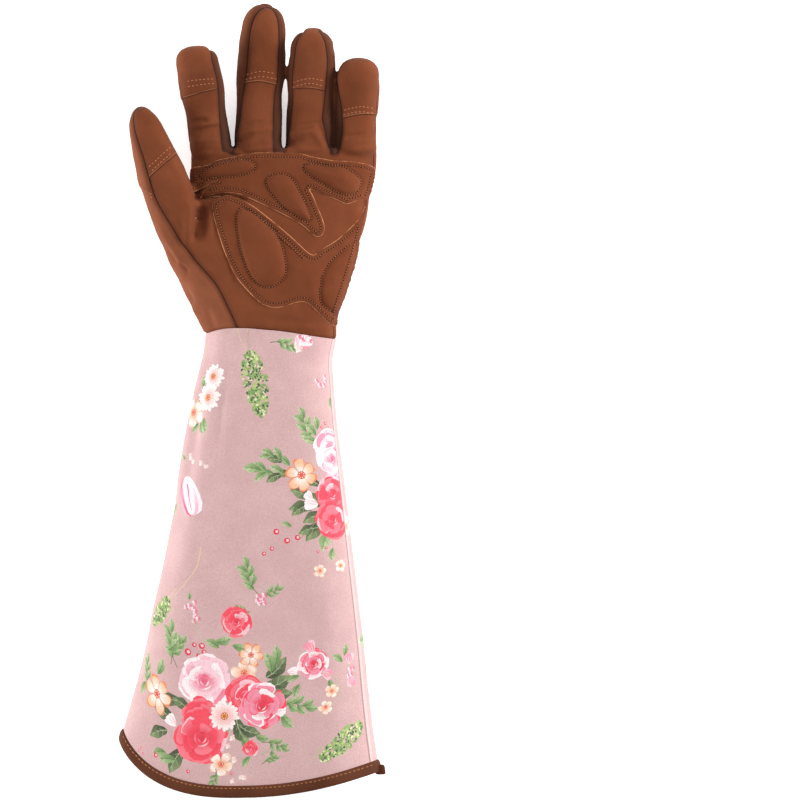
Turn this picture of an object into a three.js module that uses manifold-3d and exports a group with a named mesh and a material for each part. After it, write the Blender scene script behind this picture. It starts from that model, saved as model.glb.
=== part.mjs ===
// A rose pruning gauntlet for the left hand: a leather hand sewn from a palm panel, a back panel and three
// fourchettes, with a padded palm patch and fingertip caps, and a long flared cloth sleeve with a bound hem.
// It lies palm up on its back. +Y runs along the fingers, -X is the thumb side and +Z the palm side.
// Millimetres, with the origin under the middle of the whole glove.
import * as THREE from "three";
import { mergeVertices } from "three/addons/utils/BufferGeometryUtils.js";
import Module from "manifold-3d";

const wasm = await Module();
wasm.setup();

// Driving dimensions
const seamGap = 0.3; // clearance between two pieces sewn together
const leatherWall = 1.6;
const clothWall = 1.4;
const patchWall = 1.2;
const capWall = 1;
const bindingWall = 1.1;
const bindingWidth = 6;
const bindingTail = 1.5; // the binding's sewn ends stick out this far at the side seam
const palmLength = 114.2; // wrist seam to the finger crotches
const wristWidth = 80;
const wristDepth = 46;
const knuckleDepth = 31;
const knuckleShift = 7.7; // the knuckles lie this far to the little finger's side of the wrist
const crotchGap = 1.8; // between neighbouring fingers at their roots
const sleeveLength = 284; // wrist seam to hem, down the middle
const hemWidth = 158.4;
const hemDepth = 62;
const hemShift = -12.9; // the hem's middle against the wrist's
const hemDrop = 26.8; // how far the rounded hem falls below the line through its ends
const hemTilt = 19; // the hem's end on the little finger's side lies this much lower
const wristRise = 4.6; // the wrist seam's hump on the thumb side
const wristTilt = 3; // the wrist seam's end on the little finger's side lies this much lower
const restFlat = 1; // how much the lying glove is flattened where it rests

// The fingers' lengths run from the crotch along the finger. Yaw leans a finger to the little finger's side,
// curl lifts it off the surface, each at its root and at its tip, in degrees. Swell widens it towards its tip.
const fingers = [
  { name: "index", length: 72, width: 25.2, swell: 1.1, depth: 23, yaw: [-7.5, -10], curl: [5, 66], capLength: 39 },
  { name: "middle", length: 90.5, width: 29.2, swell: 1, depth: 24, yaw: [0.5, 6], curl: [4, 20], capLength: 47 },
  { name: "ring", length: 76.5, width: 28.8, swell: 1.01, depth: 23.5, yaw: [1.5, 4], curl: [5, 34], capLength: 40 },
  { name: "little", length: 59.5, width: 25.8, swell: 1.02, depth: 22, yaw: [-1, 6], curl: [6, 44], capLength: 39 },
];
const thumb = {
  name: "thumb", length: 118, width: 26.5, swell: 1, depth: 25, yaw: [-25, -17], curl: [5, 7],
  rootAcross: 0.095, rootAlong: 0.26, rootHeight: 20, capLength: 41, backCapLength: 50,
};
const capArch = 2.4; // how far the middle of a cap's edge lies beyond its ends
const rootOverlap = 14; // how far a finger's tube starts inside the palm
const seamShare = 0.7; // where a finger's seams run, as a share of its half width
const thumbSeamShare = -0.52;

// Sections as shares. A finger's row scales its width and depth; its tip is rounded by a formula.
const fingerRows = [
  { along: 0, width: 1, depth: 1.18 },
  { along: 0.15, width: 0.98, depth: 1.06 },
  { along: 0.35, width: 0.97, depth: 0.98 },
  { along: 0.6, width: 1.01, depth: 1 },
  { along: 0.8, width: 0.95, depth: 0.97 },
  { along: 1, width: 0.86, depth: 0.9 },
];
const thumbRows = [
  { along: 0, width: 1.1, depth: 1.2 },
  { along: 0.3, width: 1.17, depth: 1.14 },
  { along: 0.6, width: 1.1, depth: 1.04 },
  { along: 0.76, width: 0.92, depth: 0.96 },
  { along: 0.88, width: 0.79, depth: 0.88 },
  { along: 1, width: 0.68, depth: 0.8 },
];
const tipShare = 0.2; // the rounded tip's share of a finger's length

// The palm from the wrist seam (0) to the crotches (1). Spread goes from the wrist's width to the knuckles',
// lean from the wrist's middle to the knuckles', thin from the wrist's depth to the knuckles'.
const palmRows = [
  { along: 0, spread: 0, lean: 0, thin: 0 },
  { along: 0.09, spread: 0.15, lean: -0.27, thin: 0.02 },
  { along: 0.25, spread: 0.56, lean: -0.62, thin: 0.08 },
  { along: 0.4, spread: 0.92, lean: -0.74, thin: 0.22 },
  { along: 0.48, spread: 1.03, lean: -0.66, thin: 0.34 },
  { along: 0.56, spread: 0.98, lean: -0.05, thin: 0.46 },
  { along: 0.66, spread: 0.87, lean: 0.5, thin: 0.6 },
  { along: 0.78, spread: 0.88, lean: 0.8, thin: 0.76 },
  { along: 0.88, spread: 0.98, lean: 0.95, thin: 0.9 },
  { along: 0.96, spread: 0.99, lean: 1, thin: 1.08 },
  { along: 1, spread: 0.97, lean: 1, thin: 1.3 },
];

// The sleeve from the wrist seam (0) to the hem (1), on the same plan.
const sleeveRows = [
  { along: 0, flare: 0, lean: 0, swell: 0 },
  { along: 0.05, flare: -0.01, lean: 0.15, swell: 0.05 },
  { along: 0.1, flare: 0.04, lean: 0.24, swell: 0.16 },
  { along: 0.2, flare: 0.14, lean: 0.37, swell: 0.3 },
  { along: 0.3, flare: 0.24, lean: 0.42, swell: 0.42 },
  { along: 0.5, flare: 0.43, lean: 0.5, swell: 0.61 },
  { along: 0.7, flare: 0.63, lean: 0.62, swell: 0.78 },
  { along: 0.8, flare: 0.735, lean: 0.73, swell: 0.86 },
  { along: 0.9, flare: 0.86, lean: 0.87, swell: 0.93 },
  { along: 1, flare: 1, lean: 1, swell: 1 },
];

// Soft folds in the cloth. Around runs from 0 at the little finger's side over the palm side (0.25) to the thumb's
// side (0.5). Length and spread are shares of the sleeve's length and of a whole turn, depth of the hem's depth.
const sleeveFolds = [
  { around: 0.42, along: 0.24, length: 0.16, spread: 0.03, depth: 0.03 },
  { around: 0.36, along: 0.3, length: 0.22, spread: 0.03, depth: -0.02 },
  { around: 0.46, along: 0.5, length: 0.12, spread: 0.05, depth: 0.022 },
  { around: 0.2, along: 0.62, length: 0.2, spread: 0.06, depth: 0.03 },
  { around: 0.62, along: 0.35, length: 0.3, spread: 0.05, depth: 0.03 },
  { around: 0.85, along: 0.55, length: 0.35, spread: 0.05, depth: 0.03 },
];

// The thumb's long seam where it crosses the palm: shares of the palm's length, and of its width there.
const thumbSeam = [
  { along: -0.1, across: 0.245 },
  { along: 0.04, across: 0.245 },
  { along: 0.15, across: 0.235 },
  { along: 0.28, across: 0.195 },
  { along: 0.43, across: 0.11 },
];

// The palm patch's edge in shares of the knuckles' width from the thumb side, and of the palm's length from the
// wrist. Each stretch is a smooth curve, and the stretches meet in corners.
const patchEdge = [
  [[-0.06, 0.87], [0.067, 0.925], [0.14, 0.949], [0.34, 0.98], [0.48, 0.983], [0.743, 0.946], [0.908, 0.923], [0.992, 0.89]],
  [[0.992, 0.89], [0.938, 0.673], [0.855, 0.378], [0.79, 0.16], [0.772, 0.054]],
  [[0.772, 0.054], [0.7, 0.1], [0.628, 0.169], [0.592, 0.18], [0.5, 0.154], [0.42, 0.15], [0.347, 0.194],
    [0.24, 0.316], [0.154, 0.517], [0.118, 0.68], [0.131, 0.727], [0.211, 0.743], [0.34, 0.689], [0.542, 0.52], [0.649, 0.431]],
  [[0.649, 0.431], [0.8, 0.524], [0.9, 0.64], [0.925, 0.721]],
  [[0.925, 0.721], [0.871, 0.718], [0.828, 0.703]],
  [[0.828, 0.703], [0.764, 0.732], [0.63, 0.777]],
  [[0.63, 0.777], [0.656, 0.675], [0.685, 0.589], [0.694, 0.544], [0.671, 0.528], [0.628, 0.558], [0.477, 0.657],
    [0.369, 0.713], [0.262, 0.759], [0.175, 0.777], [0.105, 0.764], [0.067, 0.743]],
  [[0.067, 0.743], [0.099, 0.794], [0.147, 0.832]],
  [[0.147, 0.832], [0.072, 0.799], [0.01, 0.774], [-0.06, 0.76]],
];

// The padding under the patch: a drop from its tip to its round end, in the same shares. Width is a share of the
// knuckles' width, and lift is in millimetres.
const padLift = 3;
const pads = [
  { tip: [0.035, 0.845], end: [0.35, 0.92], width: 0.1 },
  { tip: [0.63, 0.6], end: [0.425, 0.885], width: 0.135 },
  { tip: [0.59, 0.912], end: [0.91, 0.79], width: 0.14 },
  { tip: [0.25, 0.69], end: [0.45, 0.245], width: 0.22 },
  { tip: [0.86, 0.5], end: [0.76, 0.12], width: 0.17 },
];

// Small helpers
const degrees = Math.PI / 180;
const fullTurn = 2 * Math.PI;
const mix = (a, b, t) => a + (b - a) * t;
const clamp = (v, low, high) => Math.min(high, Math.max(low, v));
const total = (list) => list.reduce((sum, v) => sum + v, 0);

// Reads one column of a table at a place along it, on a smooth curve through its rows.
function readRows(rows, along, key) {
  let i = 0;
  while (i < rows.length - 2 && along > rows[i + 1].along) i += 1;
  const slope = (j) => {
    const before = rows[Math.max(0, j - 1)];
    const after = rows[Math.min(rows.length - 1, j + 1)];
    return (after[key] - before[key]) / (after.along - before.along);
  };
  const [a, b] = [rows[i], rows[i + 1]];
  const step = b.along - a.along;
  const t = (along - a.along) / step;
  if (t < 0) return a[key] + slope(i) * step * t;
  if (t > 1) return b[key] + slope(i + 1) * step * (t - 1);
  const t2 = t * t;
  const t3 = t2 * t;
  return (
    a[key] * (2 * t3 - 3 * t2 + 1) + b[key] * (3 * t2 - 2 * t3) +
    slope(i) * step * (t3 - 2 * t2 + t) + slope(i + 1) * step * (t3 - t2)
  );
}

// A point of a rounded section, where squareness 2 is an ellipse.
function roundSection(angle, halfWidth, halfDepth, squareness) {
  const power = 2 / squareness;
  const c = Math.cos(angle);
  const s = Math.sin(angle);
  return [halfWidth * Math.sign(c) * Math.abs(c) ** power, halfDepth * Math.sign(s) * Math.abs(s) ** power];
}

// A closed solid through rings with the same number of points. Each end is closed by a fan to a point.
function loftSolid(rings, startPoint, endPoint) {
  const count = rings[0].length;
  const points = [...rings.flat(), startPoint, endPoint];
  const faces = [];
  for (let r = 0; r < rings.length - 1; r += 1) {
    for (let j = 0; j < count; j += 1) {
      const a = r * count + j;
      const b = r * count + ((j + 1) % count);
      faces.push(a, b, b + count, a, b + count, a + count);
    }
  }
  const first = points.length - 2;
  const last = points.length - 1;
  const lastRing = (rings.length - 1) * count;
  for (let j = 0; j < count; j += 1) {
    const next = (j + 1) % count;
    faces.push(first, next, j, last, lastRing + j, lastRing + next);
  }
  return solidFrom(points, faces);
}

// A closed ring: the same profile at every station, the last joined to the first.
function ringSolid(stations) {
  const count = stations[0].length;
  const faces = [];
  stations.forEach((station, i) => {
    const next = (i + 1) % stations.length;
    for (let j = 0; j < count; j += 1) {
      const k = (j + 1) % count;
      const [a, b, c, d] = [i * count + j, i * count + k, next * count + k, next * count + j];
      faces.push(a, b, d, b, c, d);
    }
  });
  return solidFrom(stations.flat(), faces);
}

function solidFrom(points, faces) {
  let volume = 0;
  for (let i = 0; i < faces.length; i += 3) {
    const [a, b, c] = [points[faces[i]], points[faces[i + 1]], points[faces[i + 2]]];
    volume += a.dot(b.clone().cross(c));
  }
  const turned = volume < 0 ? faces.map((_, i) => faces[i - (i % 3) + [0, 2, 1][i % 3]]) : faces;
  const vertProperties = new Float32Array(points.flatMap((p) => [p.x, p.y, p.z]));
  return new wasm.Manifold(new wasm.Mesh({ numProp: 3, vertProperties, triVerts: new Uint32Array(turned) }));
}

// An upright prism over an outline in the XY plane, tall enough for the whole glove.
function planPrism(outline) {
  const deep = 4 * Math.max(wristDepth, hemDepth) + thumb.length;
  const shape = new THREE.Shape(outline.map(([x, y]) => new THREE.Vector2(x, y)));
  const geometry = new THREE.ExtrudeGeometry(shape, { depth: deep, bevelEnabled: false });
  geometry.translate(0, 0, -deep / 2);
  geometry.deleteAttribute("normal");
  geometry.deleteAttribute("uv");
  const merged = mergeVertices(geometry, 1e-4);
  return new wasm.Manifold(
    new wasm.Mesh({
      numProp: 3,
      vertProperties: merged.attributes.position.array,
      triVerts: new Uint32Array(merged.index.array),
    }),
  );
}

const unite = (solids) => solids.reduce((sum, s) => sum.add(s));

// The palm
const knuckleWidth = total(fingers.map((f) => f.width)) + crotchGap * (fingers.length - 1);
const palmSquareness = 2.4;

function palmSection(along) {
  const halfWidth = mix(wristWidth, knuckleWidth, readRows(palmRows, along, "spread")) / 2;
  const halfDepth = mix(wristDepth, knuckleDepth, readRows(palmRows, along, "thin")) / 2;
  const centre = knuckleShift * readRows(palmRows, along, "lean");
  return { halfWidth, halfDepth, centre };
}

// The wrist seam's height: a hump on the thumb side, falling to the little finger's side.
function wristLine(angle) {
  const across = (1 + Math.cos(angle)) / 2;
  return wristRise * Math.sin(Math.PI * across ** 0.62) ** 1.5 - wristTilt * across;
}

function palmPoint(angle, along, grow, lift = () => 0) {
  const { halfWidth, halfDepth, centre } = palmSection(along);
  const [x, z] = roundSection(angle, halfWidth + grow, halfDepth + grow, palmSquareness);
  const y = mix(wristLine(angle), palmLength, along);
  const height = Math.max(z + halfDepth - restFlat, -Math.min(grow, 0));
  return new THREE.Vector3(centre + x, y, height + lift(centre + x, y));
}

const palmStations = [0.13, 0.27, 0.4, 0.49, 0.57, 0.66, 0.8, 0.92];
function palmSolid(grow, { columns = 28, from = [0], to = 1, lift, half = false, fine = false } = {}) {
  const coarse = [...from, ...palmStations, to];
  const stations = fine ? coarse.flatMap((v, i) => (i ? [(v + coarse[i - 1]) / 2, v] : [v])) : coarse;
  const rings = [];
  for (const along of stations) {
    const ring = [];
    const steps = half ? columns / 2 + 1 : columns;
    for (let j = 0; j < steps; j += 1) ring.push(palmPoint((j / columns) * fullTurn, along, grow, lift));
    rings.push(ring);
  }
  const middle = (along) => {
    const { halfDepth, centre } = palmSection(along);
    const y = mix(wristLine(Math.PI / 2), palmLength, along);
    return new THREE.Vector3(centre, y, half ? halfDepth - restFlat + grow / 4 : halfDepth - restFlat);
  };
  return loftSolid(rings, middle(from[0]), middle(to));
}

// The fingers
const fingerSquareness = 2.25;
const knuckleHeight = knuckleDepth / 2 - restFlat;
let rootX = knuckleShift - knuckleWidth / 2;
for (const finger of fingers) {
  finger.root = new THREE.Vector3(rootX + finger.width / 2, palmLength, knuckleHeight);
  finger.rows = fingerRows;
  finger.overlap = rootOverlap;
  rootX += finger.width + crotchGap;
}
thumb.root = new THREE.Vector3(
  knuckleShift + (thumb.rootAcross - 0.5) * knuckleWidth,
  thumb.rootAlong * palmLength,
  thumb.rootHeight,
);
thumb.rows = thumbRows;
thumb.overlap = 0;

// The finger's middle line: its place and the directions across, along and out of the palm side.
function fingerLine(finger, distance) {
  const heading = (t) => {
    const bend = clamp(t, 0, 1);
    return [mix(...finger.yaw, bend) * degrees, mix(...finger.curl, bend ** 1.6) * degrees];
  };
  const direction = (yaw, curl) =>
    new THREE.Vector3(Math.sin(yaw) * Math.cos(curl), Math.cos(yaw) * Math.cos(curl), Math.sin(curl));
  const place = finger.root.clone();
  const steps = 24;
  for (let i = 0; i < steps; i += 1) {
    const [yaw, curl] = heading((((i + 0.5) / steps) * distance) / finger.length);
    place.addScaledVector(direction(yaw, curl), distance / steps);
  }
  const [yaw, curl] = heading(distance / finger.length);
  const ahead = direction(yaw, curl);
  const side = new THREE.Vector3(Math.cos(yaw), -Math.sin(yaw), 0);
  return { place, ahead, side, out: side.clone().cross(ahead) };
}

// Half width and half depth at a distance along the finger, with the rounded tip.
function fingerSize(finger, distance, grow = 0) {
  const share = clamp(distance / finger.length, 0, 1);
  const tipStart = finger.length * (1 - tipShare);
  const tipLength = finger.length * tipShare + grow;
  const t = clamp((distance - tipStart) / tipLength, 0, 1);
  const round = (1 - t ** 2.3) ** (1 / 2.3);
  return {
    halfWidth: ((finger.width / 2) * mix(1, finger.swell, share) * readRows(finger.rows, share, "width") + grow) * round,
    halfDepth: ((finger.depth / 2) * readRows(finger.rows, share, "depth") + grow) * round,
  };
}

function fingerSolid(finger, grow, half = false) {
  const columns = 12;
  const tipStart = finger.length * (1 - tipShare);
  const tipLength = finger.length * tipShare + grow;
  const bodySteps = 4;
  const distances = [];
  for (let i = 0; i < bodySteps; i += 1) distances.push(mix(-finger.overlap, tipStart, i / bodySteps));
  for (const angle of [0, 40, 68]) distances.push(tipStart + tipLength * Math.sin(angle * degrees));
  const rings = distances.map((distance) => {
    const { place, side, out } = fingerLine(finger, distance);
    const { halfWidth, halfDepth } = fingerSize(finger, distance, grow);
    const ring = [];
    const steps = half ? columns / 2 + 1 : columns;
    for (let j = 0; j < steps; j += 1) {
      const [x, z] = roundSection((j / columns) * fullTurn, halfWidth, halfDepth, fingerSquareness);
      const point = place.clone().addScaledVector(side, x).addScaledVector(out, z);
      if (!half) point.z = Math.max(point.z, -Math.min(grow, 0));
      ring.push(point);
    }
    return ring;
  });
  const start = fingerLine(finger, distances[0]);
  const inside = half ? grow / 4 : 0;
  const startPoint = start.place.clone().addScaledVector(start.out, inside);
  return loftSolid(rings, startPoint, fingerLine(finger, finger.length + grow).place);
}

const handParts = [...fingers, thumb];
const handSolid = (grow, palmOptions) =>
  unite([palmSolid(grow, palmOptions), ...handParts.map((f) => fingerSolid(f, grow))]);

// The leather hand as one hollow skin, open at the wrist. The panels are cut from it.
const pastWrist = 0.06;
const handInside = unite([
  palmSolid(-leatherWall, { from: [-pastWrist], to: 1 - leatherWall / palmLength }),
  ...handParts.map((f) => fingerSolid(f, -leatherWall)),
]);
const handSkin = handSolid(0).subtract(handInside);

// Seams seen in plan. Shift moves a seam away from its finger's middle line, to leave half the gap on each side.
const tipBand = 2; // a seam passes this far beside the fingertip
function fingerSeam(finger, side, shift, from, steps = 6) {
  const seam = [];
  for (let i = 0; i <= steps; i += 1) {
    const distance = mix(from, finger.length, Math.sin(((i / steps) * Math.PI) / 2));
    const { place, side: across } = fingerLine(finger, distance);
    const offset = side * (Math.max(fingerSize(finger, distance).halfWidth * seamShare, tipBand) + shift);
    seam.push([place.x + across.x * offset, place.y + across.y * offset]);
  }
  return seam;
}

const seamStart = 6; // where the seams leave the crotch
const crotchDip = 3; // how far a fourchette reaches below the crotch
const pastTip = 12;

// The strip between two fingers, seen in plan: up one finger's seam, over both tips and down the other's.
function fourchetteOutline(left, right, shift) {
  const up = fingerSeam(left, 1, shift, seamStart);
  const down = fingerSeam(right, -1, shift, seamStart).reverse();
  const leftTip = fingerLine(left, left.length + pastTip).place;
  const rightTip = fingerLine(right, right.length + pastTip).place;
  const middle = (left.root.x + left.width / 2 + right.root.x - right.width / 2) / 2;
  const foot = crotchGap / 2 + 2 * leatherWall - shift;
  const bottom = palmLength - crotchDip + shift;
  return [
    [middle - foot, bottom],
    ...up,
    [leftTip.x + tipBand + shift, leftTip.y],
    [rightTip.x - tipBand - shift, rightTip.y],
    ...down,
    [middle + foot, bottom],
  ];
}

// Everything on the thumb side of the thumb's long seam, seen in plan.
function palmAcross(across, along) {
  const { halfWidth, centre } = palmSection(clamp(along, 0, 1));
  return centre - halfWidth + 2 * halfWidth * across;
}

function thumbSideOutline(shift) {
  const lower = thumbSeam.map(({ along, across }) => [palmAcross(across, along) + shift, along * palmLength]);
  const upper = [];
  for (const share of [0.5, 0.65, 0.8, 0.9, 0.97, 1]) {
    const distance = share * thumb.length;
    const { place, side } = fingerLine(thumb, distance);
    const offset = fingerSize(thumb, distance).halfWidth * thumbSeamShare + shift;
    upper.push([place.x + side.x * offset, place.y + side.y * offset]);
  }
  const tip = fingerLine(thumb, thumb.length + pastTip).place;
  const farLeft = Math.min(tip.x, -knuckleWidth) - thumb.width;
  return [...lower, ...upper, [tip.x + shift, tip.y], [farLeft, tip.y], [farLeft, lower[0][1]]];
}

// The palm side of the hand, above the middle of every tube and right of the thumb's seam.
const halfGrow = 3;
function palmSide(shift) {
  const grow = halfGrow - 2 * shift;
  const halves = unite([
    palmSolid(grow, { from: [-pastWrist, 0], half: true }),
    ...handParts.map((f) => fingerSolid(f, grow, true)),
  ]);
  return halves.translate([0, 0, shift]).subtract(planPrism(thumbSideOutline(shift)));
}

const halfGap = seamGap / 2;
const neighbours = fingers.slice(1).map((right, i) => [fingers[i], right]);
const cutStrips = unite(neighbours.map(([left, right]) => planPrism(fourchetteOutline(left, right, -halfGap))));
const panelSkin = handSkin.subtract(cutStrips);
const palmPanel = panelSkin.intersect(palmSide(halfGap));
const backPanel = panelSkin.subtract(palmSide(-halfGap));
const fourchettes = neighbours.map(([left, right]) => ({
  name: `fourchette_${left.name}_${right.name}`,
  solid: handSkin.intersect(planPrism(fourchetteOutline(left, right, halfGap))),
}));

// The palm patch: a leather sheet over the palm panel, domed over its padding.
const patchPlace = ([across, along]) => [
  knuckleShift + (across - 0.5) * knuckleWidth,
  along * palmLength,
];

function padHeight(x, y) {
  let height = 0;
  for (const pad of pads) {
    const [tipX, tipY] = patchPlace(pad.tip);
    const [endX, endY] = patchPlace(pad.end);
    const length = Math.hypot(endX - tipX, endY - tipY);
    const along = ((x - tipX) * (endX - tipX) + (y - tipY) * (endY - tipY)) / length ** 2;
    if (along <= 0 || along >= 1) continue;
    const off = Math.abs((x - tipX) * (endY - tipY) - (y - tipY) * (endX - tipX)) / length;
    const halfWidth = 0.62 * pad.width * knuckleWidth * along ** 0.7 * Math.sqrt(1 - along ** 2.4) * 1.25;
    if (off < halfWidth) height = Math.max(height, padLift * (1 - (off / halfWidth) ** 2) ** 0.6);
  }
  return height;
}

const patchOutline = patchEdge.flatMap((stretch) => {
  const curve = new THREE.SplineCurve(stretch.map((p) => new THREE.Vector2(...patchPlace(p))));
  const count = stretch.length === 3 ? 3 : Math.round(1.6 * stretch.length);
  return curve.getPoints(count).slice(0, -1).map((p) => [p.x, p.y]);
});
const overSkin = handSolid(seamGap);
const palmPatch = palmSolid(seamGap + patchWall, { columns: 56, fine: true, lift: padHeight })
  .subtract(overSkin)
  .intersect(planPrism(patchOutline))
  .intersect(palmSolid(padLift + patchWall + halfGrow, { half: true }).translate([0, 0, halfGap]));

// Fingertip caps: a second layer over the palm side of each tip, inside the finger's seams.
function capOutline(finger) {
  const from = finger.length - finger.capLength;
  const left = fingerSeam(finger, -1, -halfGap, from, 4);
  const right = fingerSeam(finger, 1, -halfGap, from, 4).reverse();
  const arch = [0.5, 0, -0.5].map((share) => {
    const { place, side } = fingerLine(finger, from + capArch * (1 - share * share));
    const offset = share * (fingerSize(finger, from).halfWidth * seamShare - halfGap);
    return [place.x + side.x * offset, place.y + side.y * offset];
  });
  return [...left, ...right.slice(1), ...arch];
}

function tipCap(finger) {
  return fingerSolid(finger, seamGap + capWall)
    .subtract(overSkin)
    .intersect(planPrism(capOutline(finger)))
    .intersect(fingerSolid(finger, halfGrow, true).translate([0, 0, halfGap]));
}

// The thumb's caps: one on the palm side, right of the thumb's seam, and one round its back.
function thumbBand(capLength, skew) {
  const from = fingerLine(thumb, thumb.length - capLength);
  const reach = 2 * thumb.width;
  const corner = (across, ahead) => {
    const rise = across * Math.tan(skew * degrees) + ahead;
    return [from.place.x + from.side.x * across + from.ahead.x * rise,
      from.place.y + from.side.y * across + from.ahead.y * rise];
  };
  const far = 2 * capLength;
  return planPrism([corner(-reach, 0), corner(reach, 0), corner(reach, far), corner(-reach, far)]);
}

const thumbCapSkin = fingerSolid(thumb, seamGap + capWall).subtract(overSkin);
const thumbPalmSide = (shift) =>
  fingerSolid(thumb, halfGrow, true).translate([0, 0, shift]).subtract(planPrism(thumbSideOutline(shift)));
const thumbCap = thumbCapSkin.intersect(thumbBand(thumb.capLength, 18)).intersect(thumbPalmSide(halfGap));
const thumbBackCap = thumbCapSkin.intersect(thumbBand(thumb.backCapLength, -8)).subtract(thumbPalmSide(-halfGap));

// The sleeve
const sleeveSquareness = 2.4;

function foldDepth(around, along) {
  return total(
    sleeveFolds.map((fold) => {
      const aside = Math.abs(around - fold.around);
      const turn = Math.min(aside, 1 - aside) / fold.spread;
      const down = (along - fold.along) / fold.length;
      return fold.depth * hemDepth * Math.exp(-turn * turn - down * down);
    }),
  );
}

// How far below the wrist's middle the hem lies: a line between its two ends, and a skewed rounded drop.
function hemLine(angle) {
  const across = (1 + Math.cos(angle)) / 2;
  const half = angle <= Math.PI ? angle : fullTurn - angle;
  const round = Math.sin(Math.PI * (half / Math.PI) ** 1.33) ** 1.5;
  const middleDrop = hemTilt / 2 + hemDrop;
  return -(sleeveLength - middleDrop) - hemTilt * across - hemDrop * round;
}

// A point on the sleeve. Grow moves it out of the cloth's outer face.
function sleevePoint(angle, along, grow) {
  const halfWidth = mix(wristWidth, hemWidth, readRows(sleeveRows, along, "flare")) / 2;
  const halfDepth = mix(wristDepth, hemDepth, readRows(sleeveRows, along, "swell")) / 2;
  const centre = hemShift * readRows(sleeveRows, along, "lean");
  const fold = foldDepth(angle / fullTurn, along);
  const [x, z] = roundSection(angle, halfWidth + grow - fold, halfDepth + grow - fold, sleeveSquareness);
  const y = mix(wristLine(angle) - seamGap, hemLine(angle), along);
  const floor = (bindingWall + 1.7 * seamGap) * clamp(along, 0, 1);
  return new THREE.Vector3(centre + x, y, Math.max(z + halfDepth - restFlat, floor - grow));
}

const sleeveColumns = 36;
const sleeveStations = [0.06, 0.13, 0.23, 0.36, 0.5, 0.65, 0.81];
function sleeveSolid(grow, from, to) {
  const underBinding = 1 - (1.3 * bindingWidth) / sleeveLength;
  const rings = [];
  for (const along of [from, ...sleeveStations, underBinding, to]) {
    const ring = [];
    for (let j = 0; j < sleeveColumns; j += 1) {
      ring.push(sleevePoint((j / sleeveColumns) * fullTurn, along, grow));
    }
    rings.push(ring);
  }
  const middle = (ring) => ring.reduce((sum, p) => sum.add(p), new THREE.Vector3()).divideScalar(ring.length);
  return loftSolid(rings, middle(rings[0]), middle(rings.at(-1)));
}

const pastEnd = 0.02;
const sleeve = sleeveSolid(0, 0, 1).subtract(sleeveSolid(-clothWall, -pastEnd, 1 + pastEnd));

// The hem's binding: a leather strip folded round the cloth's edge.
function bindingSolid() {
  const clear = 1.7 * seamGap; // the cloth's facets turn under the strip, so it stands a little further off
  const outside = clear + bindingWall;
  const inside = -(clothWall + clear);
  const deepest = inside - bindingWall;
  const profile = [
    [-bindingWidth, clear], [-bindingWidth, outside], [outside, outside], [outside, deepest],
    [-bindingWidth, deepest], [-bindingWidth, inside], [clear, inside], [clear, clear],
  ];
  const back = bindingWidth / sleeveLength;
  const reach = (angle, away, out) => {
    const tip = sleevePoint(angle, 1, 0);
    const ahead = tip.clone().sub(sleevePoint(angle, 1 - back, 0)).normalize();
    const outward = sleevePoint(angle, 1, 1).sub(sleevePoint(angle, 1, -1)).divideScalar(2);
    return tip.addScaledVector(ahead, away).addScaledVector(outward, out);
  };
  const stations = [];
  for (let j = 0; j < sleeveColumns; j += 1) {
    stations.push(profile.map(([away, out]) => reach((j / sleeveColumns) * fullTurn, away, out)));
  }
  // The strip's two ends are sewn flat together and stick out at the side.
  const rings = [clear + bindingWall / 2, outside + bindingTail].map((out) =>
    [[-bindingWidth, -1], [outside, -1], [outside, 1], [-bindingWidth, 1]].map(([away, up]) => {
      const corner = reach(0, away, out);
      corner.z += up * bindingWall;
      return corner;
    }),
  );
  const middle = (ring) => ring.reduce((sum, p) => sum.add(p), new THREE.Vector3()).divideScalar(ring.length);
  return ringSolid(stations).add(loftSolid(rings, middle(rings[0]), middle(rings[1])));
}

// Materials
const leather = { color: 0x8a5238, roughness: 0.72, metalness: 0 };
const finishes = {
  palm_leather: leather,
  back_leather: { ...leather, color: 0x96593d },
  patch_leather: { ...leather, color: 0x84503a },
  floral_cloth: { color: 0xe3bdba, roughness: 0.9, metalness: 0 },
  hem_leather: { ...leather, color: 0x6f4028 },
};

const gauntlet = new THREE.Group();
function addPiece(name, solid, finish) {
  const mesh = solid.getMesh();
  const geometry = new THREE.BufferGeometry();
  geometry.setAttribute("position", new THREE.BufferAttribute(new Float32Array(mesh.vertProperties), 3));
  geometry.setIndex(new THREE.BufferAttribute(new Uint32Array(mesh.triVerts), 1));
  geometry.computeVertexNormals();
  const piece = new THREE.Mesh(geometry, new THREE.MeshStandardMaterial(finishes[finish]));
  piece.name = name;
  gauntlet.add(piece);
}

addPiece("palm_panel", palmPanel, "palm_leather");
addPiece("back_panel", backPanel, "back_leather");
for (const { name, solid } of fourchettes) addPiece(name, solid, "back_leather");
addPiece("palm_patch", palmPatch, "patch_leather");
for (const finger of fingers) addPiece(`${finger.name}_tip_cap`, tipCap(finger), "palm_leather");
addPiece("thumb_tip_cap", thumbCap, "palm_leather");
addPiece("thumb_back_cap", thumbBackCap, "back_leather");
addPiece("sleeve", sleeve, "floral_cloth");
addPiece("hem_binding", bindingSolid(), "hem_leather");

// The frame's origin goes under the middle of the whole glove.
const extent = new THREE.Box3().setFromObject(gauntlet);
const middle = extent.getCenter(new THREE.Vector3());
gauntlet.position.set(-middle.x, -middle.y, -extent.min.z);

export default gauntlet;
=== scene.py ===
# The gauntlet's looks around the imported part: a leather hand with folds, seams and stitches, a padded palm
# patch and a printed canvas sleeve with a bound hem. It lies palm up, fingers towards +Y, thumb towards -X.
import math
import bpy
import numpy as np
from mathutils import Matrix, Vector
from mathutils.bvhtree import BVHTree
from mathutils.geometry import delaunay_2d_cdt


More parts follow.
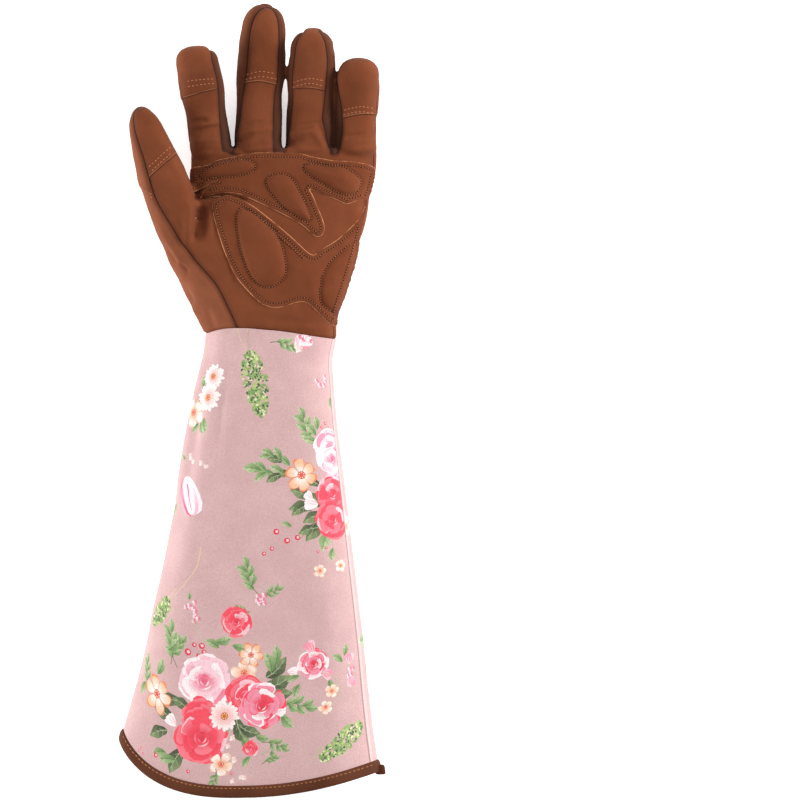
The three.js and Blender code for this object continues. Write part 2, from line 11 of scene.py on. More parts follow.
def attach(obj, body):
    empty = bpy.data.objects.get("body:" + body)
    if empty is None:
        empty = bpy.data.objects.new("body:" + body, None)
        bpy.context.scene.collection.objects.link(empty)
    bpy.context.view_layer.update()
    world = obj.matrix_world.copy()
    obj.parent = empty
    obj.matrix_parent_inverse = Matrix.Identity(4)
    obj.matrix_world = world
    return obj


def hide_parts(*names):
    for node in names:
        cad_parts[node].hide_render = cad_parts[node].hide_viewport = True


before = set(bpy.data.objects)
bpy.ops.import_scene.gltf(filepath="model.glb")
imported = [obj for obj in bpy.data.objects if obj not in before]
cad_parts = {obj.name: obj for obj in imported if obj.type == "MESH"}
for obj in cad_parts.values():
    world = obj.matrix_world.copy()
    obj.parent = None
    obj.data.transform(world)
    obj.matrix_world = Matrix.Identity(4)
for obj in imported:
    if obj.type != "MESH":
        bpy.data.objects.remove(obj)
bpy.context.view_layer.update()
mm = 0.001
rng = np.random.default_rng(11)

# How the photograph sees the glove: straight down through a long lens.
photo = {"middle": (251.0, 400.5), "metresPerPixel": 0.0006125, "plane": 0.02, "distance": 8.166}


def pixelPlan(points, height=0.034):
    # Photograph pixels to plan positions in millimetres, for features at that height
    scale = photo["metresPerPixel"] / mm
    p = np.atleast_2d(np.asarray(points, float))
    flat = np.stack([(p[:, 0] - photo["middle"][0]) * scale, (photo["middle"][1] - p[:, 1]) * scale], 1)
    centre = np.array([(400 - photo["middle"][0]) * scale, (photo["middle"][1] - 400) * scale])
    share = (photo["distance"] + photo["plane"] - height) / photo["distance"]
    return centre + (flat - centre) * share


def resample(points, spacing, closed=False, smooth=True):
    # An even row of points on a smooth curve through the given ones
    p = np.asarray(points, float)
    if closed:
        p = np.vstack([p[-1], p, p[0], p[1]])
    else:
        p = np.vstack([2 * p[0] - p[1], p, 2 * p[-1] - p[-2]])
    fine = []
    for i in range(1, len(p) - 2):
        t = np.linspace(0, 1, 24, endpoint=False)[:, None]
        a, b, c, d = p[i - 1], p[i], p[i + 1], p[i + 2]
        if smooth:
            curve = 2 * b + (c - a) * t + (2 * a - 5 * b + 4 * c - d) * t**2 + (3 * b - a - 3 * c + d) * t**3
            fine.append(0.5 * curve)
        else:
            fine.append(b + (c - b) * t)
    fine = np.vstack(fine + [p[-2:-1]])
    steps = np.r_[0, np.cumsum(np.linalg.norm(np.diff(fine, axis=0), axis=1))]
    count = max(2, int(round(steps[-1] / spacing)) + 1)
    at = np.linspace(0, steps[-1], count)
    even = np.stack([np.interp(at, steps, fine[:, k]) for k in range(p.shape[1])], 1)
    return even[:-1] if closed else even


def lineDistance(points, line, closed=False):
    # Signed distance to a line of points: positive to its left
    a = line if closed else line[:-1]
    b = np.roll(line, -1, axis=0) if closed else line[1:]
    best = np.full(len(points), 1e9)
    sign = np.ones(len(points))
    for start, end in zip(a, b):
        along = end - start
        t = np.clip(((points - start) @ along) / (along @ along), 0, 1)
        off = points - start - t[:, None] * along
        distance = np.hypot(off[:, 0], off[:, 1])
        side = np.sign(along[0] * (points[:, 1] - start[1]) - along[1] * (points[:, 0] - start[0]))
        nearer = distance < best - 1e-9
        best[nearer] = distance[nearer]
        sign[nearer] = side[nearer]
    return best * sign


def inside(points, outline):
    hit = np.zeros(len(points), bool)
    for a, b in zip(outline, np.roll(outline, -1, axis=0)):
        crosses = (a[1] > points[:, 1]) != (b[1] > points[:, 1])
        with np.errstate(divide="ignore", invalid="ignore"):
            x = (b[0] - a[0]) * (points[:, 1] - a[1]) / (b[1] - a[1]) + a[0]
        hit ^= crosses & (points[:, 0] < x)
    return hit


def outlineDistance(points, outline):
    # Positive inside the outline
    return np.abs(lineDistance(points, outline, closed=True)) * np.where(inside(points, outline), 1, -1)


def smoothStep(value, low, high):
    t = np.clip((value - low) / (high - low), 0, 1)
    return t * t * (3 - 2 * t)


def readTable(rows, along, column):
    # A smooth curve through one column of a table, straight on past its ends
    along = np.asarray(along, float)
    x = np.array([row[0] for row in rows])
    y = np.array([row[column] for row in rows])
    last = len(x) - 1
    slope = np.array([(y[min(i + 1, last)] - y[max(i - 1, 0)]) / (x[min(i + 1, last)] - x[max(i - 1, 0)])
                      for i in range(len(x))])
    i = np.clip(np.searchsorted(x, along, side="right") - 1, 0, len(x) - 2)
    step = x[i + 1] - x[i]
    t = (along - x[i]) / step
    curve = (y[i] * (2 * t**3 - 3 * t**2 + 1) + y[i + 1] * (3 * t**2 - 2 * t**3)
             + slope[i] * step * (t**3 - 2 * t**2 + t) + slope[i + 1] * step * (t**3 - t**2))
    curve = np.where(t < 0, y[i] + slope[i] * step * t, curve)
    return np.where(t > 1, y[i + 1] + slope[i + 1] * step * (t - 1), curve)


def partWay(start, end, share):
    return start + (end - start) * share


def section(angle, halfWidth, halfDepth, squareness):
    # A point of a rounded box's outline: squareness 2 is an ellipse
    c, s = np.cos(angle), np.sin(angle)
    power = 2 / squareness
    return halfWidth * np.sign(c) * np.abs(c) ** power, halfDepth * np.sign(s) * np.abs(s) ** power


# Small mesh helpers. Points are in millimetres until the mesh is made.
def makeObject(name, points, faces, smooth=True):
    mesh = bpy.data.meshes.new(name)
    mesh.from_pydata((np.asarray(points) * mm).tolist(), [], [list(map(int, f)) for f in faces])
    mesh.update()
    if smooth:
        mesh.polygons.foreach_set("use_smooth", [True] * len(mesh.polygons))
    thing = bpy.data.objects.new(name, mesh)
    bpy.context.scene.collection.objects.link(thing)
    return thing


def gridFaces(rows, columns, closed=True):
    i, j = np.meshgrid(np.arange(rows - 1), np.arange(columns if closed else columns - 1), indexing="ij")
    nextColumn = (j + 1) % columns
    quads = np.stack([i * columns + j, i * columns + nextColumn, (i + 1) * columns + nextColumn,
                      (i + 1) * columns + j], -1)
    return quads.reshape(-1, 4)


def closedLoft(rings, start, end):
    # A closed body through rings, with a fan to a point at each end
    rings = np.asarray(rings)
    rows, columns = rings.shape[:2]
    points = np.vstack([rings.reshape(-1, 3), [start, end]])
    faces = [list(f) for f in gridFaces(rows, columns)]
    first, last = rows * columns, rows * columns + 1
    for j in range(columns):
        n = (j + 1) % columns
        faces.append([first, n, j])
        faces.append([last, (rows - 1) * columns + j, (rows - 1) * columns + n])
    return points, faces


def meshPoints(thing):
    co = np.empty(len(thing.data.vertices) * 3)
    thing.data.vertices.foreach_get("co", co)
    return co.reshape(-1, 3) / mm


def setPoints(thing, points):
    thing.data.vertices.foreach_set("co", (points * mm).astype(np.float32).ravel())
    thing.data.update()


def meshNormals(thing):
    no = np.empty(len(thing.data.vertices) * 3)
    thing.data.vertices.foreach_get("normal", no)
    return no.reshape(-1, 3)


def setNormals(thing, normals):
    thing.data.normals_split_custom_set_from_vertices(normals.tolist())


def addField(thing, name, values):
    attribute = thing.data.attributes.new(name, "FLOAT", "POINT")
    attribute.data.foreach_set("value", np.asarray(values, np.float32))


def applied(thing):
    # The thing's mesh with its modifiers applied
    bpy.context.view_layer.update()
    mesh = bpy.data.meshes.new_from_object(thing.evaluated_get(bpy.context.evaluated_depsgraph_get()))
    old = thing.data
    thing.modifiers.clear()
    thing.data = mesh
    bpy.data.meshes.remove(old)
    return thing


def waves(points, size, seed, octaves=2):
    # Soft repeatable unevenness from a few crossed waves, about -1 to 1
    random = np.random.default_rng(seed)
    total = np.zeros(len(points))
    for octave in range(octaves):
        for k in range(5):
            direction = random.normal(size=points.shape[1])
            direction /= np.linalg.norm(direction)
            turn = 2 * math.pi / (size / 2**octave * random.uniform(0.7, 1.4))
            total += np.sin(points @ direction * turn + random.uniform(0, 6.28)) / 2**octave
    return total / 4


def treeOf(thing):
    return BVHTree.FromObject(thing, bpy.context.evaluated_depsgraph_get())


def drop(tree, plan, start=0.12):
    # Heights and normals where plan points fall on a surface from above
    heights = np.full(len(plan), np.nan)
    normals = np.tile([0.0, 0, 1], (len(plan), 1))
    down = Vector((0, 0, -1))
    for k, (x, y) in enumerate(plan):
        place, normal, _, _ = tree.ray_cast(Vector((x * mm, y * mm, start)), down)
        if place is not None:
            heights[k] = place.z / mm
            normals[k] = normal
    return heights, normals


# The hand. The tables are shares, as the part's own source has them.
hand = {"shift": (12.258, 40.139), "palmLength": 114.2, "wristWidth": 80, "wristDepth": 46,
        "knuckleDepth": 31, "knuckleShift": 7.7, "crotchGap": 1.8, "wristRise": 4.6, "wristTilt": 3,
        "flat": 1, "square": 2.4, "fingerSquare": 2.25, "voxel": 1.0, "tipBand": 2.0}
palmRows = [
    (0, 0, 0, 0), (0.09, 0.15, -0.27, 0.02), (0.25, 0.56, -0.62, 0.08), (0.4, 0.92, -0.74, 0.22),
    (0.48, 1.03, -0.66, 0.34), (0.56, 0.98, -0.05, 0.46), (0.66, 0.87, 0.5, 0.6), (0.78, 0.88, 0.8, 0.76),
    (0.88, 0.98, 0.95, 0.9), (0.96, 0.99, 1, 1.08), (1, 0.97, 1, 1.3),
]
fingerRows = [
    (0, 1, 1.18), (0.15, 0.98, 1.06), (0.35, 0.97, 0.98), (0.6, 1.01, 1), (0.8, 0.95, 0.97), (1, 0.86, 0.9),
]
thumbRows = [
    (0, 1.1, 1.2), (0.3, 1.17, 1.14), (0.6, 1.1, 1.04), (0.76, 0.92, 0.96), (0.88, 0.79, 0.88),
    (1, 0.68, 0.8),
]
# Angles are in degrees at the root and at the tip, and cap is the capped length. left and right say how far
# the palm side reaches from the middle line, in half widths: 9 where no side strip is on that side.
fingers = {
    "index": {"length": 72, "width": 25.2, "swell": 1.1, "depth": 23, "yaw": (-7.5, -10), "curl": (5, 66),
              "cap": 39, "left": 9, "right": 0.7},
    "middle": {"length": 90.5, "width": 29.2, "swell": 1, "depth": 24, "yaw": (0.5, 6), "curl": (4, 20),
               "cap": 47, "left": 0.7, "right": 0.7},
    "ring": {"length": 76.5, "width": 28.8, "swell": 1.01, "depth": 23.5, "yaw": (1.5, 4), "curl": (5, 34),
             "cap": 40, "left": 0.7, "right": 0.7},
    "little": {"length": 59.5, "width": 25.8, "swell": 1.02, "depth": 22, "yaw": (-1, 6), "curl": (6, 44),
               "cap": 39, "left": 0.7, "right": 9},
}
thumb = {"length": 118, "width": 26.5, "swell": 1, "depth": 25, "yaw": (-25, -17), "curl": (5, 7), "cap": 41,
         "left": 9, "right": 9, "across": 0.095, "along": 0.26, "height": 20, "rows": thumbRows, "overlap": 0}
knuckleWidth = sum(f["width"] for f in fingers.values()) + hand["crotchGap"] * 3
shiftX, shiftY = hand["shift"]
crotches = []
edge = hand["knuckleShift"] - knuckleWidth / 2
for name, finger in fingers.items():
    finger["root"] = (edge + finger["width"] / 2, hand["palmLength"], hand["knuckleDepth"] / 2 - hand["flat"])
    finger["rows"] = fingerRows
    finger["overlap"] = 14
    edge += finger["width"] + hand["crotchGap"]
    crotches.append((edge - hand["crotchGap"] / 2 + shiftX, hand["palmLength"] + shiftY))
thumb["root"] = (hand["knuckleShift"] + (thumb["across"] - 0.5) * knuckleWidth,
                 thumb["along"] * hand["palmLength"], thumb["height"])
tubes = {**fingers, "thumb": thumb}


def traceFinger(finger):
    # Samples along a finger's middle line: distance, place and its three directions
    step = 0.5
    distance = np.arange(-20, finger["length"] + 8, step)
    bend = np.clip((distance + step / 2) / finger["length"], 0, 1)
    yaw = np.radians(finger["yaw"][0] + (finger["yaw"][1] - finger["yaw"][0]) * bend)
    curl = np.radians(finger["curl"][0] + (finger["curl"][1] - finger["curl"][0]) * bend**1.6)
    ahead = np.stack([np.sin(yaw) * np.cos(curl), np.cos(yaw) * np.cos(curl), np.sin(curl)], 1)
    place = np.vstack([np.zeros(3), np.cumsum(ahead * step, axis=0)[:-1]])
    start = np.array([np.interp(0, distance, place[:, k]) for k in range(3)])
    place += np.array(finger["root"]) - start + np.array([shiftX, shiftY, 0])
    side = np.stack([np.cos(yaw), -np.sin(yaw), 0 * yaw], 1)
    finger["trace"] = (distance, place, ahead, side, np.cross(side, ahead))


def fingerSize(finger, distance, grow=0):
    share = np.clip(np.asarray(distance, float) / finger["length"], 0, 1)
    tipStart = 0.8 * finger["length"]
    t = np.clip((distance - tipStart) / (0.2 * finger["length"] + grow), 0, 1)
    rounded = (1 - t**2.3) ** (1 / 2.3)
    wide = finger["width"] / 2 * (1 + (finger["swell"] - 1) * share) * readTable(finger["rows"], share, 1)
    deep = finger["depth"] / 2 * readTable(finger["rows"], share, 2)
    return (wide + grow) * rounded, (deep + grow) * rounded


def fingerLoft(finger, grow, columns=64, step=1.2):
    distance, place, ahead, side, out = finger["trace"]
    tipStart = 0.8 * finger["length"]
    reach = 0.2 * finger["length"] + grow
    straight = np.arange(-finger["overlap"], tipStart, step)
    at = np.r_[straight, tipStart + reach * np.sin(np.radians(np.linspace(0, 86, 18)))]
    wide, deep = fingerSize(finger, at, grow)
    if finger["overlap"]:
        # The root grows out of the palm
        root = 0.5 + 0.5 * smoothStep(at, -finger["overlap"], 1)
        wide, deep = wide * root, deep * root
    angle = np.linspace(0, 2 * math.pi, columns, endpoint=False)
    x, z = section(angle[None, :], wide[:, None], deep[:, None], hand["fingerSquare"])
    take = lambda values: np.stack([np.interp(at, distance, values[:, k]) for k in range(3)], 1)
    centre, across, up = take(place), take(side), take(out)
    rings = centre[:, None] + x[..., None] * across[:, None] + z[..., None] * up[:, None]
    rings[..., 2] = np.maximum(rings[..., 2], max(0, -grow))
    end = np.array([np.interp(tipStart + reach, distance, place[:, k]) for k in range(3)])
    return closedLoft(rings, centre[0], end)


def wristLine(angle):
    across = (1 + np.cos(angle)) / 2
    return hand["wristRise"] * np.sin(math.pi * across**0.62) ** 1.5 - hand["wristTilt"] * across


def palmSection(along):
    wide = partWay(hand["wristWidth"], knuckleWidth, readTable(palmRows, along, 1)) / 2
    deep = partWay(hand["wristDepth"], hand["knuckleDepth"], readTable(palmRows, along, 3)) / 2
    return wide, deep, hand["knuckleShift"] * readTable(palmRows, along, 2)


def palmLoft(grow, start, columns=128, rows=90, end=1):
    along = np.linspace(start, end, rows)
    wide, deep, centre = palmSection(along)
    angle = np.linspace(0, 2 * math.pi, columns, endpoint=False)
    x, z = section(angle[None, :], (wide + grow)[:, None], (deep + grow)[:, None], hand["square"])
    y = wristLine(angle)[None, :] * (1 - along[:, None]) + hand["palmLength"] * along[:, None]
    z = np.maximum(z + deep[:, None] - hand["flat"], max(0, -grow))
    rings = np.stack([x + centre[:, None] + shiftX, y + shiftY, z], -1)
    return closedLoft(rings, rings[0].mean(0), rings[-1].mean(0))


for finger in tubes.values():
    traceFinger(finger)


def joinedHand(name, grow, palmStart, voxel, smoothing, end=1):
    points, faces = palmLoft(grow, palmStart, end=end)
    faces = list(faces)
    for finger in tubes.values():
        morePoints, moreFaces = fingerLoft(finger, grow)
        faces += [[v + len(points) for v in f] for f in moreFaces]
        points = np.vstack([points, morePoints])
    thing = makeObject(name, points, faces)
    remesh = thing.modifiers.new("Remesh", "REMESH")
    remesh.mode = "VOXEL"
    remesh.voxel_size = voxel * mm
    remesh.use_smooth_shade = True
    smooth = thing.modifiers.new("Smooth", "SMOOTH")
    smooth.factor = 0.5
    smooth.iterations = smoothing
    return applied(thing)


print("stage: hand")
whole = joinedHand("hand_form", 0, -0.045, hand["voxel"], 7)
points = meshPoints(whole)
# The leather packs down a little past these pixel rows at the fingertips: row, share kept
tipPress = {"index": (58, 0.72), "middle": (24, 0.92), "ring": (46, 0.9), "little": (76, 0.82)}
tipReach = 16  # millimetres to each side of a fingertip
for finger, (row, kept) in tipPress.items():
    start = (photo["middle"][1] - row) * photo["metresPerPixel"] / mm
    distance, trace = fingers[finger]["trace"][:2]
    tipX = np.interp(fingers[finger]["length"], distance, trace[:, 0])
    past = (np.abs(points[:, 0] - tipX) < tipReach) & (points[:, 1] > start)
    points[:, 1] = np.where(past, partWay(start, points[:, 1], kept), points[:, 1])
setPoints(whole, points)
normals = meshNormals(whole)


def fingerPlace(points, finger):
    # Each point's distance along a finger, and its place across and above the middle line
    distance, place, ahead, side, out = (values[::3] for values in finger["trace"])
    nearest = np.empty(len(points), int)
    for k in range(0, len(points), 20000):
        part = points[k:k + 20000]
        nearest[k:k + 20000] = ((part[:, None] - place[None]) ** 2).sum(-1).argmin(1)
    off = points - place[nearest]
    d = distance[nearest] + (off * ahead[nearest]).sum(1)
    return d, (off * side[nearest]).sum(1), (off * out[nearest]).sum(1)


def handFields(points):
    # Signed distances to the seams and cap edges, in millimetres
    count = len(points)
    fourchette = np.full(count, -30.0)
    cap = np.full(count, -30.0)
    owner = np.zeros(count, int)
    along = np.clip((points[:, 1] - shiftY) / hand["palmLength"], 0, 1)
    deep = palmSection(along)[1]
    below = deep - hand["flat"] + 0.3 * deep * smoothStep(points[:, 0], 20, 50) - points[:, 2]
    best = np.full(count, 1.9)
    for number, (name, finger) in enumerate(tubes.items(), 1):
        d, u, v = fingerPlace(points, finger)
        wideHere, deepHere = fingerSize(finger, np.clip(d, -20, finger["length"] * 0.985))
        rho = (u / wideHere) ** 2 + (v / deepHere) ** 2
        start = 18 if name == "thumb" else 0
        mine = (d > start - 2) & (rho < best)
        best[mine] = rho[mine]
        owner[mine] = number
        edgeOf = lambda key: np.maximum(wideHere * finger[key], hand["tipBand"])
        strip = np.maximum(u - edgeOf("right"), -u - edgeOf("left"))
        fourchette[mine] = (strip - np.maximum(0, 3 - d))[mine]
        low = 0.0 if name == "thumb" else 0.3
        blend = smoothStep(d, start, start + 12)
        below[mine] = (below * (1 - blend) + (low * deepHere - v) * blend)[mine]
        arch = 2.4 * (1 - np.clip(u / (wideHere * 0.7), -1, 1) ** 2)
        cap[mine] = (d - (finger["length"] - finger["cap"]) - arch)[mine]
    for x, y in crotches[:3]:
        fourchette = np.maximum(fourchette, 3.7 - np.hypot(points[:, 0] - x, points[:, 1] - y - 0.8))
    return fourchette, cap, below, owner


fourchette, cap, below, owner = handFields(points)
# From above, each finger's panel ends at the seam lines of the photograph
seamLines = {
    1: [
        (186, 170), (182, 120), (176, 90), (170, 60), (176, 42), (196, 38), (207, 42), (211.5, 50),
        (213.4, 60), (218.4, 84), (219.8, 105), (220.5, 119), (221.6, 136), (223, 149),
    ],
    2: [
        (231.5, 152), (234.2, 140), (236.8, 128), (240, 106), (243.2, 88), (246, 70), (247.8, 50),
        (249.8, 32), (253.4, 19.6), (259, 10.5), (265.5, 6.6), (271, 7.4), (275.2, 12), (278.5, 21),
        (280, 35), (279.6, 56), (278, 78.6), (275.4, 95.4), (274, 119), (273.4, 150),
    ],
    3: [
        (282.5, 152), (285.8, 140), (288.6, 122), (290.7, 104), (291.4, 88), (291.6, 73), (293.5, 57),
        (296.3, 42), (301, 33), (307, 24), (314, 24), (320, 31), (325.6, 42), (327.9, 60), (327.2, 78),
        (326, 92), (324.2, 108), (323, 120), (326.6, 133), (329.8, 146), (331, 156),
    ],
    4: [
        (336, 156), (338.8, 146), (341.2, 130), (340.9, 112), (338.4, 97), (336.3, 86), (334.5, 76),
        (338, 62), (352, 52), (370, 52), (386, 66), (386, 100), (386, 170),
    ],
}
overhead = smoothStep(normals[:, 2], -0.15, 0.3)
for number, line in seamLines.items():
    own = owner == number
    line = resample(pixelPlan(line, 0.031), 1.0)
    outside = lineDistance(points[own, :2], line)
    fourchette[own] = partWay(fourchette[own], np.clip(outside, -30, 30), overhead[own])
tips = (owner > 0) & (owner < 5)
toTip = np.zeros(len(points))
for number, finger in enumerate(fingers.values(), 1):
    own = owner == number
    toTip[own] = smoothStep(fingerPlace(points[own], finger)[0] / finger["length"], 0.62, 0.85)
below = np.where(tips, below * (1 - toTip) - (normals[:, 2] + 0.3) * 11 * toTip, below)
for x, y in crotches[:3]:
    ring = 3.2 - np.hypot(points[:, 0] - x, (points[:, 1] - y - 0.4) * 0.9)
    fourchette = np.where(owner == 0, np.maximum(fourchette, ring), fourchette)
thumbSeam = resample(pixelPlan([
    (146, 104), (137, 109), (133.6, 115.5), (135, 130), (142.3, 153.8), (149.5, 179.3), (156.7, 201.6),
    (172.6, 228.7), (191.7, 255.8), (215.7, 284.5), (228.4, 308.4), (237.2, 327.6), (243, 345),
]), 1.2)
leftOfSeam = -lineDistance(points[:, :2], thumbSeam)
leftOfSeam[(points[:, 1] > thumbSeam[:, 1].max() - 1) & (owner != 5)] = -30
leftOfSeam[owner % 5 != 0] = -30
panel = np.maximum(leftOfSeam, below)
thumbCapEdge = pixelPlan([(140, 185.4), (185, 145.7)])
thumbBackEdge = pixelPlan([(132, 182), (160, 197.7)])
isThumb = owner == 5
palmCap = lineDistance(points[:, :2], thumbCapEdge)
backCap = lineDistance(points[:, :2], thumbBackEdge)
cap = np.where(isThumb, np.where(panel > 0, backCap, palmCap), cap)
capLines = {
    1: [(176, 101), (186, 97), (201, 92.6), (217, 88.6), (226, 87)],
    2: [(236, 84.4), (244, 82.8), (260, 81.2), (277, 84.6), (284, 87)],
    3: [(286, 89.4), (294, 88.4), (310, 87.6), (326, 91), (334, 94)],
    4: [(334, 121), (342, 118), (360, 114), (377, 114), (384, 115)],
}
for number, line in capLines.items():
    own = owner == number
    above = lineDistance(points[own, :2], resample(pixelPlan(line, 0.033), 1.0))
    cap[own] = partWay(cap[own], above, overhead[own])
up = smoothStep(normals[:, 2], -0.1, 0.4)

# Soft folds in the leather: start and end pixels, half width and height in millimetres
folds = [
    (192, 121, 207, 120, 1.5, -0.9), (193, 131, 221, 127, 1.7, -0.7), (194, 141, 219, 139, 2.4, 0.9),
    (196, 126, 222, 121, 1.6, 0.6), (193, 151, 216, 149, 1.6, -0.5), (236, 141, 252, 134, 1.5, -0.9),
    (248, 131, 273, 128, 2.2, 0.8), (243, 126, 262, 122, 1.4, -0.6), (262, 141, 276, 143, 1.8, 0.6),
    (289, 143, 303, 139, 1.6, -0.8), (290, 134, 312, 130, 2.2, 0.8), (300, 126, 322, 122, 1.5, -0.6),
    (318, 125, 330, 143, 1.6, -0.8), (313, 131, 324, 149, 1.8, 0.7), (345, 137, 362, 134, 1.6, -0.7),
    (349, 149, 377, 148, 2.4, 0.8), (350, 141, 375, 141, 1.6, 0.4), (188.7, 205, 187.5, 240, 2.6, 1.6),
    (201, 207, 200, 218, 3.0, -2.0), (200, 218, 194, 239, 2.4, -1.8), (210, 212, 209, 240, 3.2, 0.9),
    (158, 224, 182, 262, 3.0, 1.0), (163, 244, 176, 262, 1.6, -0.9), (180, 263, 188, 271, 1.4, -0.7),
    (192, 304, 199, 331, 3.0, 1.0), (184, 285, 193, 306, 2.2, -0.8), (208, 310, 214, 333, 2.6, -0.6),
    (225, 246, 238, 290, 3.0, -0.5), (166, 150, 186, 186, 2.4, 0.7), (160, 190, 170, 215, 2.6, -0.5),
    (240, 150, 275, 147, 1.8, 0.7), (282, 149, 330, 151, 1.8, 0.5), (196, 197, 226, 194.5, 1.5, -1.9),
    (226, 194.5, 246, 198.5, 1.4, -1.1), (246, 322, 330, 330, 2.2, 0.4), (342, 300, 336, 330, 2.0, -0.6),
    (262, 318, 300, 322, 2.4, -0.4),
]


def foldHeight(plan):
    height = np.zeros(len(plan))
    for x0, y0, x1, y1, width, tall in folds:
        a, b = pixelPlan([(x0, y0), (x1, y1)])
        along = b - a
        t = ((plan - a) @ along) / (along @ along)
        off = np.abs(along[0] * (plan[:, 1] - a[1]) - along[1] * (plan[:, 0] - a[0])) / np.linalg.norm(along)
        end = smoothStep(t, -0.25, 0.25) * smoothStep(-t, -1.25, -0.75)
        height += 1.75 * tall * np.exp(-((off / width) ** 2)) * end
    return height


inPalm = smoothStep(-fourchette, -0.5, 1.5)
rise = foldHeight(points[:, :2]) * up * inPalm
rise += 0.35 * waves(points, 26, 5) + 0.12 * waves(points, 9, 6)
rise -= 1.0 * np.exp(-((fourchette / 1.3) ** 2))
rise -= 0.9 * np.exp(-((panel / 1.4) ** 2)) * smoothStep(-fourchette, 0, 2)
rise += 0.55 * smoothStep(cap, -0.5, 0.5) * smoothStep(-fourchette, 0, 1.5)
wristAt = (points[:, 1] - shiftY) - wristLine(np.arccos(np.clip((points[:, 0] - shiftX) / 42, -1, 1)))
rise -= 1.5 * smoothStep(-wristAt, -2.2, 0.6)
points = points + normals * rise[:, None]
points[:, 2] = np.maximum(points[:, 2], 0)
setPoints(whole, points)
normals = meshNormals(whole)
handTree = treeOf(whole)

# The pieces of the hand are cut from the one form, so that their edges meet exactly.
faceLists = np.empty(len(whole.data.loops), int)
whole.data.loops.foreach_get("vertex_index", faceLists)
starts = np.array([p.loop_start for p in whole.data.polygons])
sizes = np.array([p.loop_total for p in whole.data.polygons])
quads = [faceLists[s:s + n] for s, n in zip(starts, sizes)]
firstFour = np.array([q[[0, 1, 2, -1]] for q in quads])
middleOf = lambda values: values[firstFour].mean(1)
faceStrip = middleOf(fourchette)
facePanel = middleOf(panel)
faceX, faceY = middleOf(points[:, 0]), middleOf(points[:, 1])
wristEnd = (middleOf(normals[:, 1]) < -0.6) & (faceY < shiftY + 1)
faceMiddle = np.stack([faceX, faceY, middleOf(points[:, 2])], 1)
between = np.zeros(len(quads), int)
ownerFace = owner[firstFour].max(1)
for k in range(3):
    near = np.abs(faceX - crotches[k][0]) < 40
    leftFinger, rightFinger = list(fingers.values())[k:k + 2]
    fromLeft, fromRight = fingerPlace(faceMiddle, leftFinger)[1], fingerPlace(faceMiddle, rightFinger)[1]
    facing = ((ownerFace == k + 1) & (fromLeft > 0)) | ((ownerFace == k + 2) & (fromRight < 0))
    facing |= (ownerFace == 0) & (np.abs(faceX - crotches[k][0]) < 8)
    between[(faceStrip > 0) & near & facing] = k + 1
labels = np.where(wristEnd, -1, np.where(between > 0, 1 + between, np.where(facePanel > 0, 1, 0)))


def cutPiece(name, wanted):
    chosen = [quads[k] for k in np.nonzero(labels == wanted)[0]]
    used = np.unique(np.concatenate(chosen))
    index = np.full(len(points), -1)
    index[used] = np.arange(len(used))
    thing = makeObject(name, points[used], [index[q] for q in chosen])
    setNormals(thing, normals[used])
    for field, values in (("fourchette", fourchette), ("panel", panel), ("cap", cap)):
        addField(thing, field, values[used])
    # Painted shade: strips that face right or lie low beside a crotch are darker, as if in shadow
    x, y = points[used, 0], points[used, 1]
    toCrotch = np.min([np.hypot(x - cx, (y - cy - 4) * 0.5) for cx, cy in crotches[:3]], axis=0)
    facingRight = smoothStep(normals[used, 0], 0.0, 0.7)
    addField(thing, "deep", np.clip(facingRight * 0.6 + 1 - smoothStep(toCrotch, 4, 17), 0, 1))
    return thing


pieces = {
    "palm_side": cutPiece("palm_side", 0), "hand_back": cutPiece("hand_back", 1),
    "side_strip_index_middle": cutPiece("side_strip_index_middle", 2),
    "side_strip_middle_ring": cutPiece("side_strip_middle_ring", 3),
    "side_strip_ring_little": cutPiece("side_strip_ring_little", 4),
}
bpy.data.objects.remove(whole)

# The inside of the hand, seen through the sleeve
lining = joinedHand("hand_inside", -3.6, -0.05, 2.0, 3)
liningPoints, liningNormals = meshPoints(lining), meshNormals(lining)


def closesWrist(corners):
    return liningNormals[corners, 1].mean() < -0.6 and liningPoints[corners, 1].mean() < shiftY + 1


kept = [tuple(reversed(p.vertices)) for p in lining.data.polygons if not closesWrist(list(p.vertices))]
inner = makeObject("hand_inside_form", liningPoints, kept)
bpy.data.objects.remove(lining)
inner.name = "hand_inside"
pieces["hand_inside"] = inner

print("stage: sleeve")
# Lengths are in millimetres, and wall is the gap between the outer and the inner cloth.
sleeve = {"length": 284, "hemWidth": 158.4, "hemDepth": 62, "hemShift": -12.9, "hemDrop": 26.8, "hemTilt": 19,
          "wall": 1.2, "wristGap": 0.4, "lift": 1.6}
sleeveRows = [
    (0, 0, 0, 0), (0.05, -0.01, 0.15, 0.05), (0.1, 0.04, 0.24, 0.16), (0.2, 0.14, 0.37, 0.3),
    (0.3, 0.24, 0.42, 0.42), (0.5, 0.43, 0.5, 0.61), (0.7, 0.63, 0.62, 0.78), (0.8, 0.735, 0.73, 0.86),
    (0.9, 0.86, 0.87, 0.93), (1, 1, 1, 1),
]
